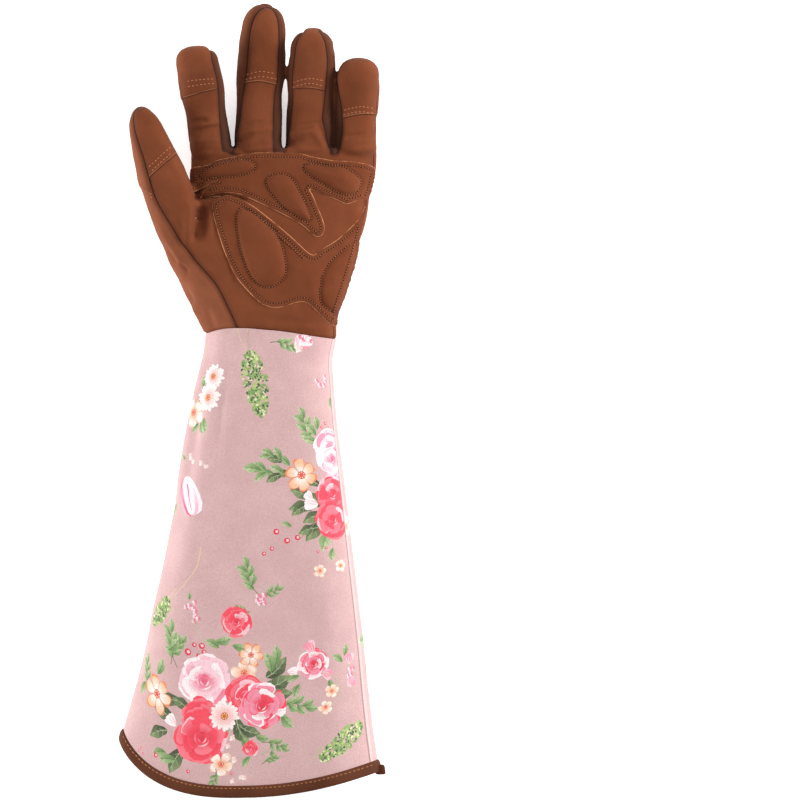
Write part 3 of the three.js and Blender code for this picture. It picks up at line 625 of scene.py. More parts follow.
# Folds in the cloth: place round it (0 at the right, 0.25 on top, 0.5 at the left), place along, length,
# spread and depth in millimetres
clothFolds = [
    (0.42, 0.24, 0.16, 0.03, 1.9), (0.36, 0.3, 0.22, 0.03, -1.2), (0.46, 0.5, 0.12, 0.05, 1.4),
    (0.2, 0.62, 0.2, 0.06, 1.9), (0.3, 0.7, 0.2, 0.045, 1.8), (0.15, 0.72, 0.3, 0.035, -1.3),
    (0.38, 0.62, 0.25, 0.04, -1.0), (0.62, 0.35, 0.3, 0.05, 1.9), (0.85, 0.55, 0.35, 0.05, 1.9),
    (0.335, 0.19, 0.1, 0.012, 0.9), (0.318, 0.2, 0.1, 0.012, -0.7), (0.3, 0.03, 0.03, 0.05, 0.5),
    (0.47, 0.68, 0.06, 0.05, -0.8), (0.49, 0.42, 0.05, 0.06, 0.8), (0.17, 0.05, 0.05, 0.03, 0.6),
]


def sleeveWidth(along):
    # Half the width and the middle's place across
    half = partWay(hand["wristWidth"], sleeve["hemWidth"], readTable(sleeveRows, along, 1)) / 2
    return half, sleeve["hemShift"] * readTable(sleeveRows, along, 2)


def hemLine(angle):
    # The hem's place along Y: it is tilted, and it hangs lower on top
    angle = np.asarray(angle, float) % (2 * math.pi)
    half = np.where(angle <= math.pi, angle, 2 * math.pi - angle)
    rounded = np.sin(math.pi * (half / math.pi) ** 1.33) ** 1.5
    side = sleeve["length"] - sleeve["hemTilt"] / 2 - sleeve["hemDrop"]
    return -side - sleeve["hemTilt"] * (1 + np.cos(angle)) / 2 - sleeve["hemDrop"] * rounded


def clothPoint(angle, along, grow=0.0):
    # A point of the sleeve at an angle and a share of its length, grow millimetres further out
    angle, along = np.broadcast_arrays(np.asarray(angle, float), np.asarray(along, float))
    wide, centre = sleeveWidth(along)
    deep = partWay(hand["wristDepth"], sleeve["hemDepth"], readTable(sleeveRows, along, 3)) / 2
    turn = (angle / (2 * math.pi)) % 1
    fold = np.zeros(angle.shape)
    for around, at, length, spread, depth in clothFolds:
        aside = np.abs(turn - around)
        fold += depth * np.exp(-((np.minimum(aside, 1 - aside) / spread) ** 2) - ((along - at) / length) ** 2)
    x, z = section(angle, wide + grow - fold, deep + grow - fold, hand["square"])
    y = (wristLine(angle) + sleeve["wristGap"]) * (1 - along) + hemLine(angle) * along
    floor = sleeve["lift"] * np.clip(along, 0, 1)
    z = np.maximum(z + deep - hand["flat"], floor - grow)
    return np.stack([centre + x + shiftX, y + shiftY, z], -1)


def clothNormal(angle, along):
    da = clothPoint(angle + 0.004, along) - clothPoint(angle - 0.004, along)
    dl = clothPoint(angle, along + 0.002) - clothPoint(angle, along - 0.002)
    n = np.cross(da, -dl)
    n /= np.linalg.norm(n, axis=-1, keepdims=True) + 1e-12
    out = clothPoint(angle, along, 1) - clothPoint(angle, along, 0)
    return n * np.where((n * out).sum(-1, keepdims=True) < 0, -1, 1)


print("stage: print")
# The print is cut as crisp shapes into the cloth's flat cut: X runs round from the side seam, Y from wrist to
# hem.
flat = {"width": 300.0, "length": 284.0, "seam": 0.36, "around": 150, "along": 96}
turns = np.linspace(0, 2 * math.pi, 721)
levels = np.linspace(0, 1, 41)
shares = np.linspace(0, 1, 401)
girths, shareRows, angleRows = [], [], []
for level in levels:
    ring = clothPoint(flat["seam"] + turns, level)
    steps = np.r_[0, np.cumsum(np.linalg.norm(np.diff(ring, axis=0), axis=1))]
    girths.append(steps[-1])
    shareRows.append(steps / steps[-1])
    angleRows.append(np.interp(shares, steps / steps[-1], turns))
angleRows = np.array(angleRows)


def flatToCloth(plan):
    # Angle and share along for points of the flat cut
    share = np.clip(plan[:, 0] / flat["width"], 0, 1)
    along = np.clip(plan[:, 1] / flat["length"], 0, 1)
    i = np.clip((along * (len(levels) - 1)).astype(int), 0, len(levels) - 2)
    j = np.clip((share * (len(shares) - 1)).astype(int), 0, len(shares) - 2)
    s, t = along * (len(levels) - 1) - i, share * (len(shares) - 1) - j
    low = angleRows[i, j] * (1 - t) + angleRows[i, j + 1] * t
    high = angleRows[i + 1, j] * (1 - t) + angleRows[i + 1, j + 1] * t
    return flat["seam"] + low * (1 - s) + high * s, along


def pixelToFlat(x, y):
    # A photograph pixel on the sleeve to the flat cut
    x, y = pixelPlan([(x, y)], 0.05)[0] - np.array([shiftX, shiftY])
    along = 0.5
    for _ in range(14):
        wide, centre = sleeveWidth(along)
        c = min(0.998, max(-0.998, float((x - centre) / wide)))
        angle = math.acos(math.copysign(abs(c) ** (hand["square"] / 2), c))
        top, bottom = float(wristLine(angle)), float(hemLine(angle))
        along = min(1.05, max(-0.05, (top - y) / (top - bottom)))
    level = int(round(min(1, max(0, along)) * (len(levels) - 1)))
    share = np.interp((angle - flat["seam"]) % (2 * math.pi), turns, shareRows[level])
    return share * flat["width"], along * flat["length"]


def turned(x, y, angle):
    c, s = math.cos(angle), math.sin(angle)
    return x * c - y * s, x * s + y * c


def polar(reach, direction):
    return reach * math.cos(direction), reach * math.sin(direction)


class Print:
    # Shapes of ink. Each later one lies over the ones before it.
    def __init__(self):
        self.shapes = []
        self.random = np.random.default_rng(7)
        self.place(0, 0)

    def place(self, x, y, turn=0.0, size=1.0):
        # The motif's middle in the flat cut, its turn in degrees and its size
        self.middle = (x, y)
        self.turn = math.radians(turn)
        self.size = size
        level = min(1.0, max(0.0, y / flat["length"]))
        self.stretch = flat["width"] / float(np.interp(level, levels, girths))

    def toFlat(self, points):
        p = np.atleast_2d(np.asarray(points, float)) * self.size
        x, y = turned(p[:, 0], p[:, 1], self.turn)
        return np.stack([self.middle[0] - x * self.stretch, self.middle[1] + y], 1)

    def ink(self, points, inner, outer, origin=(0, 0), reach=1.0):
        # One shape whose colour runs from inner at origin to outer at that reach
        outline = self.toFlat(points)
        self.shapes.append((outline, inner, outer, self.toFlat(origin)[0], reach * self.size))

    def lobe(self, direction, start, length, width, inner, outer, blunt=0.5, ruffle=0.0, count=12,
             reach=None):
        # A petal: starts at a distance from the middle and points in a direction
        phi = np.linspace(0, 2 * math.pi, count, endpoint=False)
        x = length / 2 * (1 - np.cos(phi))
        y = width / 2 * np.sin(phi) * (1 - blunt + blunt * 2 * (x / length) ** 0.8)
        wave = 1 + ruffle * np.sin(phi * 3 + self.random.uniform(0, 6.28))
        petal = np.stack(turned(start + x * wave, y * wave, direction), 1)
        self.ink(petal, inner, outer, polar(start, direction), reach or length)

    def disc(self, x, y, radius, inner, outer, count=9, squash=1.0):
        phi = np.linspace(0, 2 * math.pi, count, endpoint=False) + self.random.uniform(0, 1)
        rim = np.stack([x + radius * np.cos(phi), y + radius * squash * np.sin(phi)], 1)
        self.ink(rim, inner, outer, (x, y), radius)

    def crescent(self, radius, start, end, thick, inner, outer, count=7):
        phi = np.linspace(start, end, count)
        swell = thick * np.sin(np.linspace(0, math.pi, count)) + 0.02
        out = np.stack([radius * np.cos(phi), radius * np.sin(phi)], 1)
        back = np.stack([(radius - swell) * np.cos(phi), (radius - swell) * np.sin(phi)], 1)[::-1]
        self.ink(np.vstack([out, back[1:-1]]), inner, outer, polar(radius, (start + end) / 2), radius)

    def stroke(self, points, width, inner, outer=None, taper=0.35):
        # A thin line of ink through points, thinner at its end
        line = resample(points, 1.6) if len(points) > 2 else np.asarray(points, float)
        ahead = np.gradient(line, axis=0)
        ahead /= np.linalg.norm(ahead, axis=1, keepdims=True) + 1e-9
        side = np.stack([-ahead[:, 1], ahead[:, 0]], 1)
        half = (width / 2 * np.linspace(1, taper, len(line)))[:, None]
        reach = np.linalg.norm(line[-1] - line[0]) + 0.1
        rim = np.vstack([line + side * half, (line - side * half)[::-1]])
        self.ink(rim, inner, outer or inner, tuple(line[0]), reach)

    def leaf(self, x, y, direction, length, width, tones, veins=3):
        # Two halves of different greens, a paler rib and side veins
        c, s = math.cos(direction), math.sin(direction)
        turn = lambda u, v: (x + u * c - v * s, y + u * s + v * c)
        t = np.linspace(0, 1, 9)
        bow = 0.08 * length * np.sin(math.pi * t)
        edge = width / 2 * np.sin(math.pi * t**0.85) ** 0.85 * (1 + 0.14 * np.cos(t * 40))
        for side, (near, far) in ((1, tones[0]), (-1, tones[1])):
            rim = [turn(length * a, b + side * e) for a, b, e in zip(t, bow, edge)]
            rib = [turn(length * a, b) for a, b in zip(t[-2:0:-1], bow[-2:0:-1])]
            self.ink(rim + rib, near, far, turn(0.1 * length, 0), length)
        self.stroke([turn(length * a, b) for a, b in zip(t[:-1], bow[:-1])], 0.05 * width + 0.16, tones[2])
        for k in range(veins):
            a = 0.22 + 0.5 * k / max(1, veins - 1)
            for side in (1, -1):
                reach = 0.36 * width * math.sin(math.pi * (a + 0.1) ** 0.85)
                foot = turn(length * a, 0.08 * length * math.sin(math.pi * a))
                self.stroke([foot, turn(length * (a + 0.16), side * reach)], 0.028 * width + 0.1, tones[2])

    def petal(self, direction, start, length, width, rim, inner, outer, streaks=2, blunt=0.5):
        # A petal with a rim of another tone and streaks from its foot
        self.lobe(direction, start, length, width, rim, rim, blunt, 0.07, 13)
        drift = self.random.uniform(-0.06, 0.06)
        self.lobe(direction + drift, start * 0.98, length * self.random.uniform(0.86, 0.97), width * 0.86,
                  inner, outer, blunt, 0.06, 13, length * self.random.uniform(0.7, 1.1))
        for k in range(streaks):
            turn = direction + self.random.uniform(-0.28, 0.28)
            near, far = start + 0.12 * length, start + self.random.uniform(0.5, 0.8) * length
            self.stroke([polar(near, direction), polar(far, turn)], 0.07 * width, inner, outer)

    def rose(self, radius, tones, pale=0.4, turn=0.0):
        # Ruffled rings of petals round a tight heart. tones run from deep to pale.
        deep, mid, light, white = tones
        rings = ((0.4, 8, 0.62, 0.74), (0.24, 6, 0.58, 0.74), (0.1, 5, 0.48, 0.6))
        for ring, (start, count, length, width) in enumerate(rings):
            for k in range(count):
                direction = turn + (k + 0.5 * ring) * 2 * math.pi / count + self.random.uniform(-0.16, 0.16)
                chance = self.random.random()
                rim = white if chance < pale else light if chance < pale + 0.3 else mid
                outer = white if chance < pale * 0.5 else light if self.random.random() < pale + 0.25 else mid
                long = length * radius * self.random.uniform(0.82, 1.1)
                wide = width * radius * self.random.uniform(0.85, 1.15)
                inner = deep if ring or self.random.random() < 0.4 else mid
                self.petal(direction, start * radius, long, wide, rim, inner, outer, 4)
        self.disc(0, 0, 0.3 * radius, deep, mid, 10, 0.85)
        for k in range(6):
            start = turn + k * 1.9
            inner = (white, light, deep)[k % 3]
            self.crescent(radius * (0.31 - 0.04 * k), start, start + 2.0, radius * 0.06, inner, mid)

    def daisy(self, radius, petals, tones, heart, rings=2):
        # Two rings of narrow petals, or one ring of broad ones
        for ring in range(rings):
            for k in range(petals):
                direction = (k + 0.5 * ring) * 2 * math.pi / petals + self.random.uniform(-0.1, 0.1)
                wide = radius * 1.9 / petals * (1.25 if rings == 2 else 1.75)
                if rings == 2:
                    long = radius * (0.84 - 0.1 * ring)
                    self.lobe(direction, 0.16 * radius, long, wide, tones[0], tones[1], 0.35, 0.03, 10)
                    streak = [polar(share * radius, direction) for share in (0.25, 0.62)]
                    self.stroke(streak, 0.05 * radius, tones[0])
                else:
                    long = 0.9 * radius * self.random.uniform(0.88, 1.05)
                    self.petal(direction, 0.12 * radius, long, wide, tones[2], tones[0], tones[1], 4, 0.62)
        self.disc(0, 0, 0.24 * radius, heart[0], heart[1], 11)
        for k in range(7):
            self.disc(*polar(0.16 * radius, k * 0.9), 0.05 * radius, heart[2], heart[2], 5)

    def bud(self, length, width, tones):
        # tones: streak, pale petal, deep petal
        for direction, share, inner, outer in ((-0.42, 0.5, 2, 1), (0.42, 0.5, 2, 2), (-0.2, 0.5, 1, 1),
                                               (0.22, 0.52, 0, 2), (0.0, 0.46, 2, 1)):
            self.lobe(direction, 0, length, width * share, tones[inner], tones[outer], 0.3, 0.03, 11)
            for bend in (-0.06, 0.06):
                streak = [polar(0.15 * length, direction), polar(0.8 * length, direction + bend)]
                self.stroke(streak, 0.05 * width, tones[0])

    def tulip(self, length, width, tones):
        # A closed cup: pale petals in front, deep ones behind to one side
        for direction, start, share, inner, outer in (
                (0.16, 0.042, 0.6, 0, 2), (-0.14, -0.036, 0.6, 1, 1), (0.1, 0.024, 0.5, 2, 0),
                (-0.05, -0.018, 0.5, 1, 2), (0.02, 0.0, 0.34, 1, 1)):
            self.lobe(direction, start, length, width * share, tones[inner], tones[outer], 0.12, 0.02, 14)
            for k in range(5):
                bend = direction + self.random.uniform(-0.16, 0.16)
                reach = self.random.uniform(0.6, 0.92) * length
                top = (reach * math.cos(bend), 0.85 * length * math.sin(bend))
                self.stroke([polar(0.2 * length, direction), top], 0.05 * width, tones[2 if k % 2 else 0])

    def berry(self, x, y, radius):
        self.disc(x, y, radius, reds[1], reds[0], 9)
        self.disc(x + 0.15 * radius, y - 0.1 * radius, 0.48 * radius, pinks[3], pinks[2], 7)

    def spike(self, length, width):
        # A flower spike of small leaves and bells
        self.stroke([(0, -length * 0.85), (0, 0)], 0.4, (222, 212, 150))
        layers = ((3.6, 3.4, ((150, 184, 108), (178, 202, 128), (128, 168, 98))),
                  (3.0, 2.2, ((139, 176, 96), (112, 158, 92), (196, 212, 140))),
                  (2.2, 1.8, ((62, 104, 78), (50, 92, 74), (236, 236, 190))))
        for crowd, size, tones in layers:
            for k in range(int(length * crowd)):
                v = self.random.uniform(-0.5, 0.5)
                spread = width / 2 * math.sqrt(max(0.05, 1 - (2 * v) ** 2)) * (1 - 0.3 * v)
                x, direction = self.random.uniform(-1, 1) * spread, self.random.uniform(0, 6.28)
                long = size * self.random.uniform(0.7, 1.2)
                tone = tones[int(self.random.integers(0, len(tones)))]
                self.bell(x, v * length, direction, long, tone)

    def bell(self, x, y, direction, length, tone, width=0.62):
        # A small oval, a little darker at its rim
        phi = np.linspace(0, 2 * math.pi, 6, endpoint=False)
        u, v = turned(length / 2 * np.cos(phi), length * width / 2 * np.sin(phi), direction)
        self.ink(np.stack([x + u, y + v], 1), tone, [t * 0.86 for t in tone], (x, y), length)

    def spray(self, length, count, tones, size=0.42):
        # Leaves in pairs along a stem that points to the motif's right
        stem = [(length * t, -0.12 * length * math.sin(math.pi * t)) for t in np.linspace(0, 1, 5)]
        self.stroke(stem, 0.5, tones[2])
        for k in range(count):
            t = 0.25 + 0.7 * k / count
            direction = (1 if k % 2 else -1) * self.random.uniform(0.5, 0.8)
            self.leaf(length * t, -0.12 * length * math.sin(math.pi * t), direction, length * size,
                      length * size * 0.5, tones, 2)
        self.leaf(length * 0.92, -0.03 * length, 0.05, length * size, length * size * 0.5, tones, 2)

    def blossoms(self, spread, count, tones):
        for k in range(count):
            x, y = self.random.normal(size=2) * spread
            for j in range(4):
                direction = j * 1.57 + self.random.uniform(0, 1)
                u, v = polar(0.8, direction)
                self.bell(x + u, y + v, direction, 2.1, tones[j % len(tones)], 0.8)
            self.disc(x, y, 0.45, tones[0], tones[0], 5)


reds = [(216, 40, 70), (246, 74, 94), (250, 122, 136), (254, 200, 208)]
pinks = [(230, 84, 116), (245, 150, 172), (250, 208, 218), (255, 242, 243)]
whites = [(246, 190, 184), (255, 248, 244)]
oranges = [(255, 247, 238), (248, 192, 152), (234, 138, 88)]
orangeWhites = [(246, 176, 132), (255, 248, 240), (248, 204, 170)]
hearts = [(226, 120, 62), (178, 76, 50), (250, 206, 120)]
pinkHearts = [(232, 96, 92), (214, 70, 80), (252, 206, 150)]
lightLeaf = [((102, 144, 86), (166, 192, 136)), ((134, 170, 108), (200, 214, 170)), (78, 116, 70)]
darkLeaf = [((50, 72, 48), (98, 128, 82)), ((70, 96, 62), (138, 160, 110)), (166, 186, 138)]
flowers = Print()
# Tones from deep to pale, and the share of pale petals
roseTones = {"red": (reds, 0.12), "pink": (pinks, 0.54),
             "mixed": ([reds[0], reds[1], pinks[1], pinks[3]], 0.42)}
leafTones = {"": lightLeaf, "dark": darkLeaf}
tulipTones = [(234, 88, 124), (255, 238, 242), (249, 190, 208)]
blossomTones = [(238, 128, 156), (252, 216, 224), (255, 240, 243)]
paleBlossomTones = [(250, 216, 204), (255, 250, 246), (252, 232, 226)]
budTones = {"white": [pinks[1], pinks[3], whites[1]], "pink": [reds[1], pinks[1], pinks[2]]}
motifs = {
    "rose": lambda size, tone: flowers.rose(size, *roseTones[tone]),
    "daisy": lambda size, tone: flowers.daisy(size, 9, whites, hearts),
    "orange": lambda size, tone: flowers.daisy(size, 6, oranges, pinkHearts, 1),
    "orangeWhite": lambda size, tone: flowers.daisy(size, 5, orangeWhites, pinkHearts, 1),
    "tulip": lambda size, tone: flowers.tulip(size, size * 1.05, tulipTones),
    "bud": lambda size, tone: flowers.bud(size, size * 0.7, budTones[tone]),
    "leaf": lambda size, tone: flowers.leaf(0, 0, 0, size, size * 0.48, leafTones[tone]),
    "spray": lambda size, tone: flowers.spray(size, 5, leafTones[tone]),
    "spike": lambda size, tone: flowers.spike(size, size * 0.36),
    "berries": lambda size, tone: [flowers.berry(x * size, y * size, 0.28 * size)
                                   for x, y in ((0, 0), (0.9, 0.7), (-0.5, 0.9))],
    "berry": lambda size, tone: flowers.berry(0, 0, size),
    "blossoms": lambda size, tone: flowers.blossoms(size, 5, blossomTones),
    "whites": lambda size, tone: flowers.blossoms(size, 3, paleBlossomTones),
}
# Motif, its middle in photograph pixels, size in millimetres, turn in degrees and tone
printed = [
    ("spike", 255.5, 384, 40, -16), ("spray", 270, 343, 15, 8), ("bud", 297, 336, 9, 55, "white"),
    ("bud", 309, 334, 10, 110, "pink"), ("bud", 306, 333, 9, 80, "white"), ("blossoms", 307, 341, 3, 0),
    ("whites", 300, 346, 2.4, 0), ("leaf", 204, 418, 10, 70), ("leaf", 197, 402, 9, -60),
    ("leaf", 201, 388, 8, -100), ("leaf", 196, 424, 8, 120), ("daisy", 213, 377, 8.2, 10),
    ("daisy", 207.5, 398, 9.4, 30), ("orangeWhite", 192, 413, 9.2, 20), ("leaf", 199, 422, 9, 60),
    ("whites", 190, 461, 2.2, 0), ("whites", 203, 465, 1.4, 0), ("leaf", 184, 460, 6, 190),
    ("leaf", 184, 483, 8, 100), ("leaf", 174, 505, 9, 110), ("tulip", 184, 477, 24, 63),
    ("spike", 161, 612, 26, 26), ("spray", 317, 446, 20, 246), ("leaf", 316, 436, 10, 225),
    ("leaf", 318, 444, 11, 196), ("leaf", 317, 430, 9, 262), ("blossoms", 322, 382, 2.6, 0),
    ("leaf", 330, 398, 8, 80), ("berries", 325, 424, 3.6, 20), ("rose", 330, 447, 12, 10, "pink"),
    ("rose", 332, 460, 11, 50, "pink"), ("leaf", 292, 474, 10, 172, "dark"), ("leaf", 284, 474, 10, 204),
    ("leaf", 282, 475, 11, 152, "dark"), ("leaf", 273, 473, 10, 170), ("leaf", 266, 471, 9, 210),
    ("leaf", 262, 471, 12, 184), ("leaf", 266, 473, 9, 140), ("leaf", 290, 466, 10, 215),
    ("leaf", 283, 462, 10, 186, "dark"), ("leaf", 281, 460, 9, 238), ("leaf", 274, 457, 9, 205),
    ("leaf", 270, 456, 7, 165), ("leaf", 312, 500, 15, 205, "dark"), ("leaf", 314, 508, 16, 178, "dark"),
    ("leaf", 308, 506, 12, 150, "dark"), ("leaf", 322, 508, 14, 225, "dark"),
    ("leaf", 324, 514, 15, 160, "dark"), ("leaf", 326, 522, 18, 140, "dark"),
    ("leaf", 318, 528, 13, 165, "dark"), ("leaf", 330, 530, 15, 115), ("leaf", 320, 486, 12, 200, "dark"),
    ("orange", 301.5, 475.6, 10.6, 15), ("bud", 318, 505, 9, 190, "white"),
    ("bud", 312, 500, 6, 230, "white"), ("rose", 333, 494, 12, 40, "red"),
    ("rose", 333, 520, 12.5, 0, "red"), ("orangeWhite", 346, 527, 7, 0), ("berry", 276.6, 532, 1.9, 0),
    ("berry", 287.5, 541, 1.9, 0), ("berry", 272, 549, 1.3, 0), ("berry", 298, 538, 1.7, 0),
    ("berry", 264, 554, 1.3, 0), ("leaf", 292, 527, 7, 200), ("orangeWhite", 320, 571, 4.2, 0),
    ("orangeWhite", 340.6, 566, 4.2, 0), ("leaf", 333, 548, 9, 100), ("berry", 326, 548, 0.9, 0),
    ("berry", 318, 552, 0.9, 0), ("spray", 260, 596, 20, -115), ("spray", 262, 600, 12, -30),
    ("blossoms", 259, 598, 2.8, 0), ("blossoms", 262, 604, 1.8, 0), ("spray", 250, 612, 8, 200),
    ("rose", 236, 622, 9.4, 0, "red"), ("blossoms", 192, 608, 2.8, 0), ("blossoms", 197, 617, 1.4, 0),
    ("leaf", 190, 600, 5, -100), ("leaf", 214, 642, 11, -20), ("leaf", 232, 645, 10, 10),
    ("leaf", 218, 648, 10, 200), ("berry", 188, 652, 2.2, 0), ("berry", 194, 645, 1.5, 0),
    ("berry", 201, 646, 2, 0), ("berry", 203, 652, 1.6, 0), ("berry", 198, 656, 1.6, 0),
    ("spray", 178, 668, 22, -110), ("spray", 172, 664, 17, -70), ("leaf", 170, 650, 12, -60),
    ("leaf", 158, 674, 12, -80), ("spray", 150, 690, 16, -120), ("leaf", 146, 682, 10, 100),
    ("leaf", 182, 702, 16, 160, "dark"), ("leaf", 190, 712, 14, 200, "dark"),
    ("leaf", 176, 722, 17, 185, "dark"), ("leaf", 168, 730, 15, 140, "dark"),
    ("leaf", 184, 748, 19, 110, "dark"), ("leaf", 176, 760, 12, 160), ("leaf", 166, 752, 10, 150),
    ("leaf", 236, 718, 18, 60, "dark"), ("leaf", 240, 726, 14, 20, "dark"), ("leaf", 228, 726, 15, 110),
    ("leaf", 262, 688, 20, -20, "dark"), ("leaf", 266, 678, 18, -45, "dark"),
    ("leaf", 268, 692, 16, 5, "dark"), ("leaf", 276, 664, 12, -90), ("leaf", 272, 672, 13, -110),
    ("spray", 276, 706, 20, 10), ("leaf", 282, 714, 12, 50), ("orange", 157.5, 694, 11, 0),
    ("orangeWhite", 244, 673, 8.2, 40), ("orange", 251, 655, 7.6, 10), ("rose", 203, 681, 17, 0, "pink"),
    ("rose", 246, 696, 13, 70, "red"), ("rose", 262, 706, 14, 20, "mixed"),
    ("rose", 200, 716, 11, 40, "red"), ("rose", 201, 738, 16.5, 0, "red"),
    ("bud", 176, 726, 8, 210, "white"), ("daisy", 224, 716, 9.6, 8), ("whites", 232, 742, 2.2, 0),
    ("leaf", 242, 738, 12, 40), ("leaf", 256, 736, 9, 10), ("rose", 314, 664, 9.4, 0, "mixed"),
    ("bud", 314, 652, 8, -120, "pink"), ("bud", 322, 672, 7, 30, "pink"),
    ("bud", 288, 671, 6.5, 10, "white"), ("leaf", 300, 676, 8, 160), ("leaf", 300, 684, 9, 110),
    ("leaf", 328, 680, 9, 60), ("orangeWhite", 331, 691, 4.6, 0), ("orangeWhite", 325, 707, 4.6, 30),
    ("leaf", 342, 662, 9, 220), ("leaf", 344, 656, 8, -80), ("bud", 349, 664, 7, -80, "pink"),
    ("bud", 350, 676, 7, 80, "pink"), ("blossoms", 351, 671, 1.6, 0), ("bud", 247, 748, 7.5, 10, "pink"),
    ("rose", 250, 748, 4.6, 0, "red"), ("leaf", 250, 756, 8, 120), ("orangeWhite", 221, 764, 7.4, 10),
    ("whites", 232, 756, 1.8, 0), ("whites", 240, 779, 2.2, 0), ("spray", 216, 768, 11, 100),
    ("berries", 141, 748, 2.7, 0), ("berry", 156, 755, 1.5, 0), ("spray", 262, 742, 14, 20),
    ("leaf", 272, 750, 8, 70), ("spray", 262, 764, 9, -20), ("berry", 232, 773, 1, 0),
    ("berry", 188, 771, 1.2, 0), ("spike", 342, 742, 34, 62),
]
for kind, x, y, size, turn, *tone in printed:
    flowers.place(*pixelToFlat(x, y), turn)
    motifs[kind](size, tone[0] if tone else "")
# The same bunches go on round the back of the sleeve, in shares of its girth and length
behind = [
    (0.78, 0.3, 0.0), (0.62, 0.62, 12.0), (0.9, 0.72, -10.0), (0.7, 0.95, 5.0), (0.58, 0.08, 20.0),
    (0.82, 0.05, 0.0),
]
bunch = [
    ("leaf", -14, -6, 18, 200), ("leaf", -13, 6, 16, 165, "dark"), ("leaf", 14, -8, 17, -30),
    ("leaf", 15, 6, 16, 25, "dark"), ("spray", 2, -12, 18, -95), ("spray", -4, 14, 16, 110),
    ("leaf", 8, 14, 14, 60, "dark"), ("orange", 14, -13, 8, 0), ("rose", -5, -5, 14, 0, "pink"),
    ("rose", 8, 6, 13, 0, "red"), ("daisy", -9, 12, 8, 0), ("berries", -22, 2, 3, 0),
    ("bud", 24, 4, 7, 20, "white"), ("whites", 20, -20, 2, 0),
]
for share, along, turn in behind:
    for kind, dx, dy, size, own, *tone in bunch:
        flowers.place(share * flat["width"], along * flat["length"], turn)
        x, y = flowers.toFlat((dx, dy))[0]
        flowers.place(x, y, turn + own)
        motifs[kind](size, tone[0] if tone else "")
# Thin stems drawn over the ground: photograph pixels and tone
stems = [
    ([(237.5, 329), (240, 340), (246, 351)], (214, 206, 150)),
    ([(201.6, 547.5), (198, 566), (186, 584), (172, 600)], (226, 208, 160)),
    ([(322, 745), (316, 754), (308, 764)], (176, 196, 130)), ([(250, 612), (243, 617)], (150, 186, 130)),
    ([(340, 700), (336, 680), (322, 672)], (160, 190, 140)),
    ([(192, 618), (198, 632), (200, 646)], (170, 196, 150)),
    ([(296, 686), (288, 692), (276, 694)], (130, 165, 110)), ([(300, 540), (318, 520)], (130, 160, 110)),
    ([(332, 540), (334, 552), (340, 562)], (150, 180, 130)), ([(262, 754), (272, 748)], (150, 186, 130)),
]
for line, tone in stems:
    flowers.place(0, 0)
    flowers.stretch, flowers.middle = -1.0, (0, 0)
    flowers.stroke(np.array([pixelToFlat(*p) for p in line]), 0.55, tone)

# The cloth's mesh is cut along the outlines of the ink
width, length = flat["width"], flat["length"]
across, down = np.linspace(0, width, flat["around"] + 1), np.linspace(0, length, flat["along"] + 1)
gridX, gridY = np.meshgrid(across, down)
grid = np.stack([gridX.ravel(), gridY.ravel()], 1)
border = [(0, 0), (width, 0), (width, length), (0, length)]


def ringEdges(first, count):
    return [(first + k, first + (k + 1) % count) for k in range(count)]


def onSheet(outline):
    low, high = outline.min(0), outline.max(0)
    return high[0] > 0 and low[0] < width and high[1] > 0 and low[1] < length


shapes = [shape for shape in flowers.shapes if onSheet(shape[0])]
sheetPoints = [grid]
sheetEdges = []
total = len(grid)
for outline in [shape[0] for shape in shapes] + [np.array(border, float)]:
    sheetPoints.append(outline)
    sheetEdges += ringEdges(total, len(outline))
    total += len(outline)


def cutSheet(points, edges):
    # Triangles of the flat cloth, and for each the topmost shape of ink that holds it, or -1
    co, _, faces, _, _, _ = delaunay_2d_cdt([Vector(p) for p in points.tolist()], edges, [], 0, 1e-3)
    co, faces = np.array([list(v) for v in co]), np.array([list(f) for f in faces])
    centres = co[faces].mean(1)
    within = (centres[:, 0] > 0) & (centres[:, 0] < width) & (centres[:, 1] > 0) & (centres[:, 1] < length)
    faces, centres = faces[within], centres[within]
    order = np.argsort(centres[:, 0])
    faces, centres = faces[order], centres[order]
    tops = np.full(len(faces), -1)
    for k, (outline, *_) in enumerate(shapes):
        low, high = outline.min(0), outline.max(0)
        first, last = np.searchsorted(centres[:, 0], (low[0], high[0]))
        near = first + np.nonzero((centres[first:last, 1] > low[1]) & (centres[first:last, 1] < high[1]))[0]
        tops[near[inside(centres[near], outline)]] = k
    return co, faces, tops


# The second cut keeps only the lines between two inks, without those that later shapes hide
co, faces, tops = cutSheet(np.vstack(sheetPoints), sheetEdges)
sides = np.sort(np.concatenate([faces[:, [0, 1]], faces[:, [1, 2]], faces[:, [2, 0]]]), axis=1)
order = np.lexsort((sides[:, 1], sides[:, 0]))
sides, inkBeside = sides[order], np.tile(tops, 3)[order]
parting = sides[1:][(sides[1:] == sides[:-1]).all(1) & (inkBeside[1:] != inkBeside[:-1])]
used, parting = np.unique(parting, return_inverse=True)
sheetEdges = parting.reshape(-1, 2).tolist() + ringEdges(len(used) + len(grid), len(border))
co, faces, tops = cutSheet(np.vstack([co[used], grid, border]), sheetEdges)
used, faces = np.unique(faces, return_inverse=True)
faces = faces.reshape(-1, 3)
co = co[used]
print("stage: print has", len(shapes), "shapes and", len(faces), "faces")
print("stage: the sleeve's girths go from", round(girths[0]), "to", round(girths[-1]), "mm")
clothAngle, clothAlong = flatToCloth(co)
surface = clothPoint(clothAngle, clothAlong)
surfaceNormal = clothNormal(clothAngle, clothAlong)
cornerColour = np.zeros((len(faces), 3, 4))
cornerColour[..., 3] = 1
linear = lambda tone: 0.86 * (np.asarray(tone, float) / 255) ** 2.3
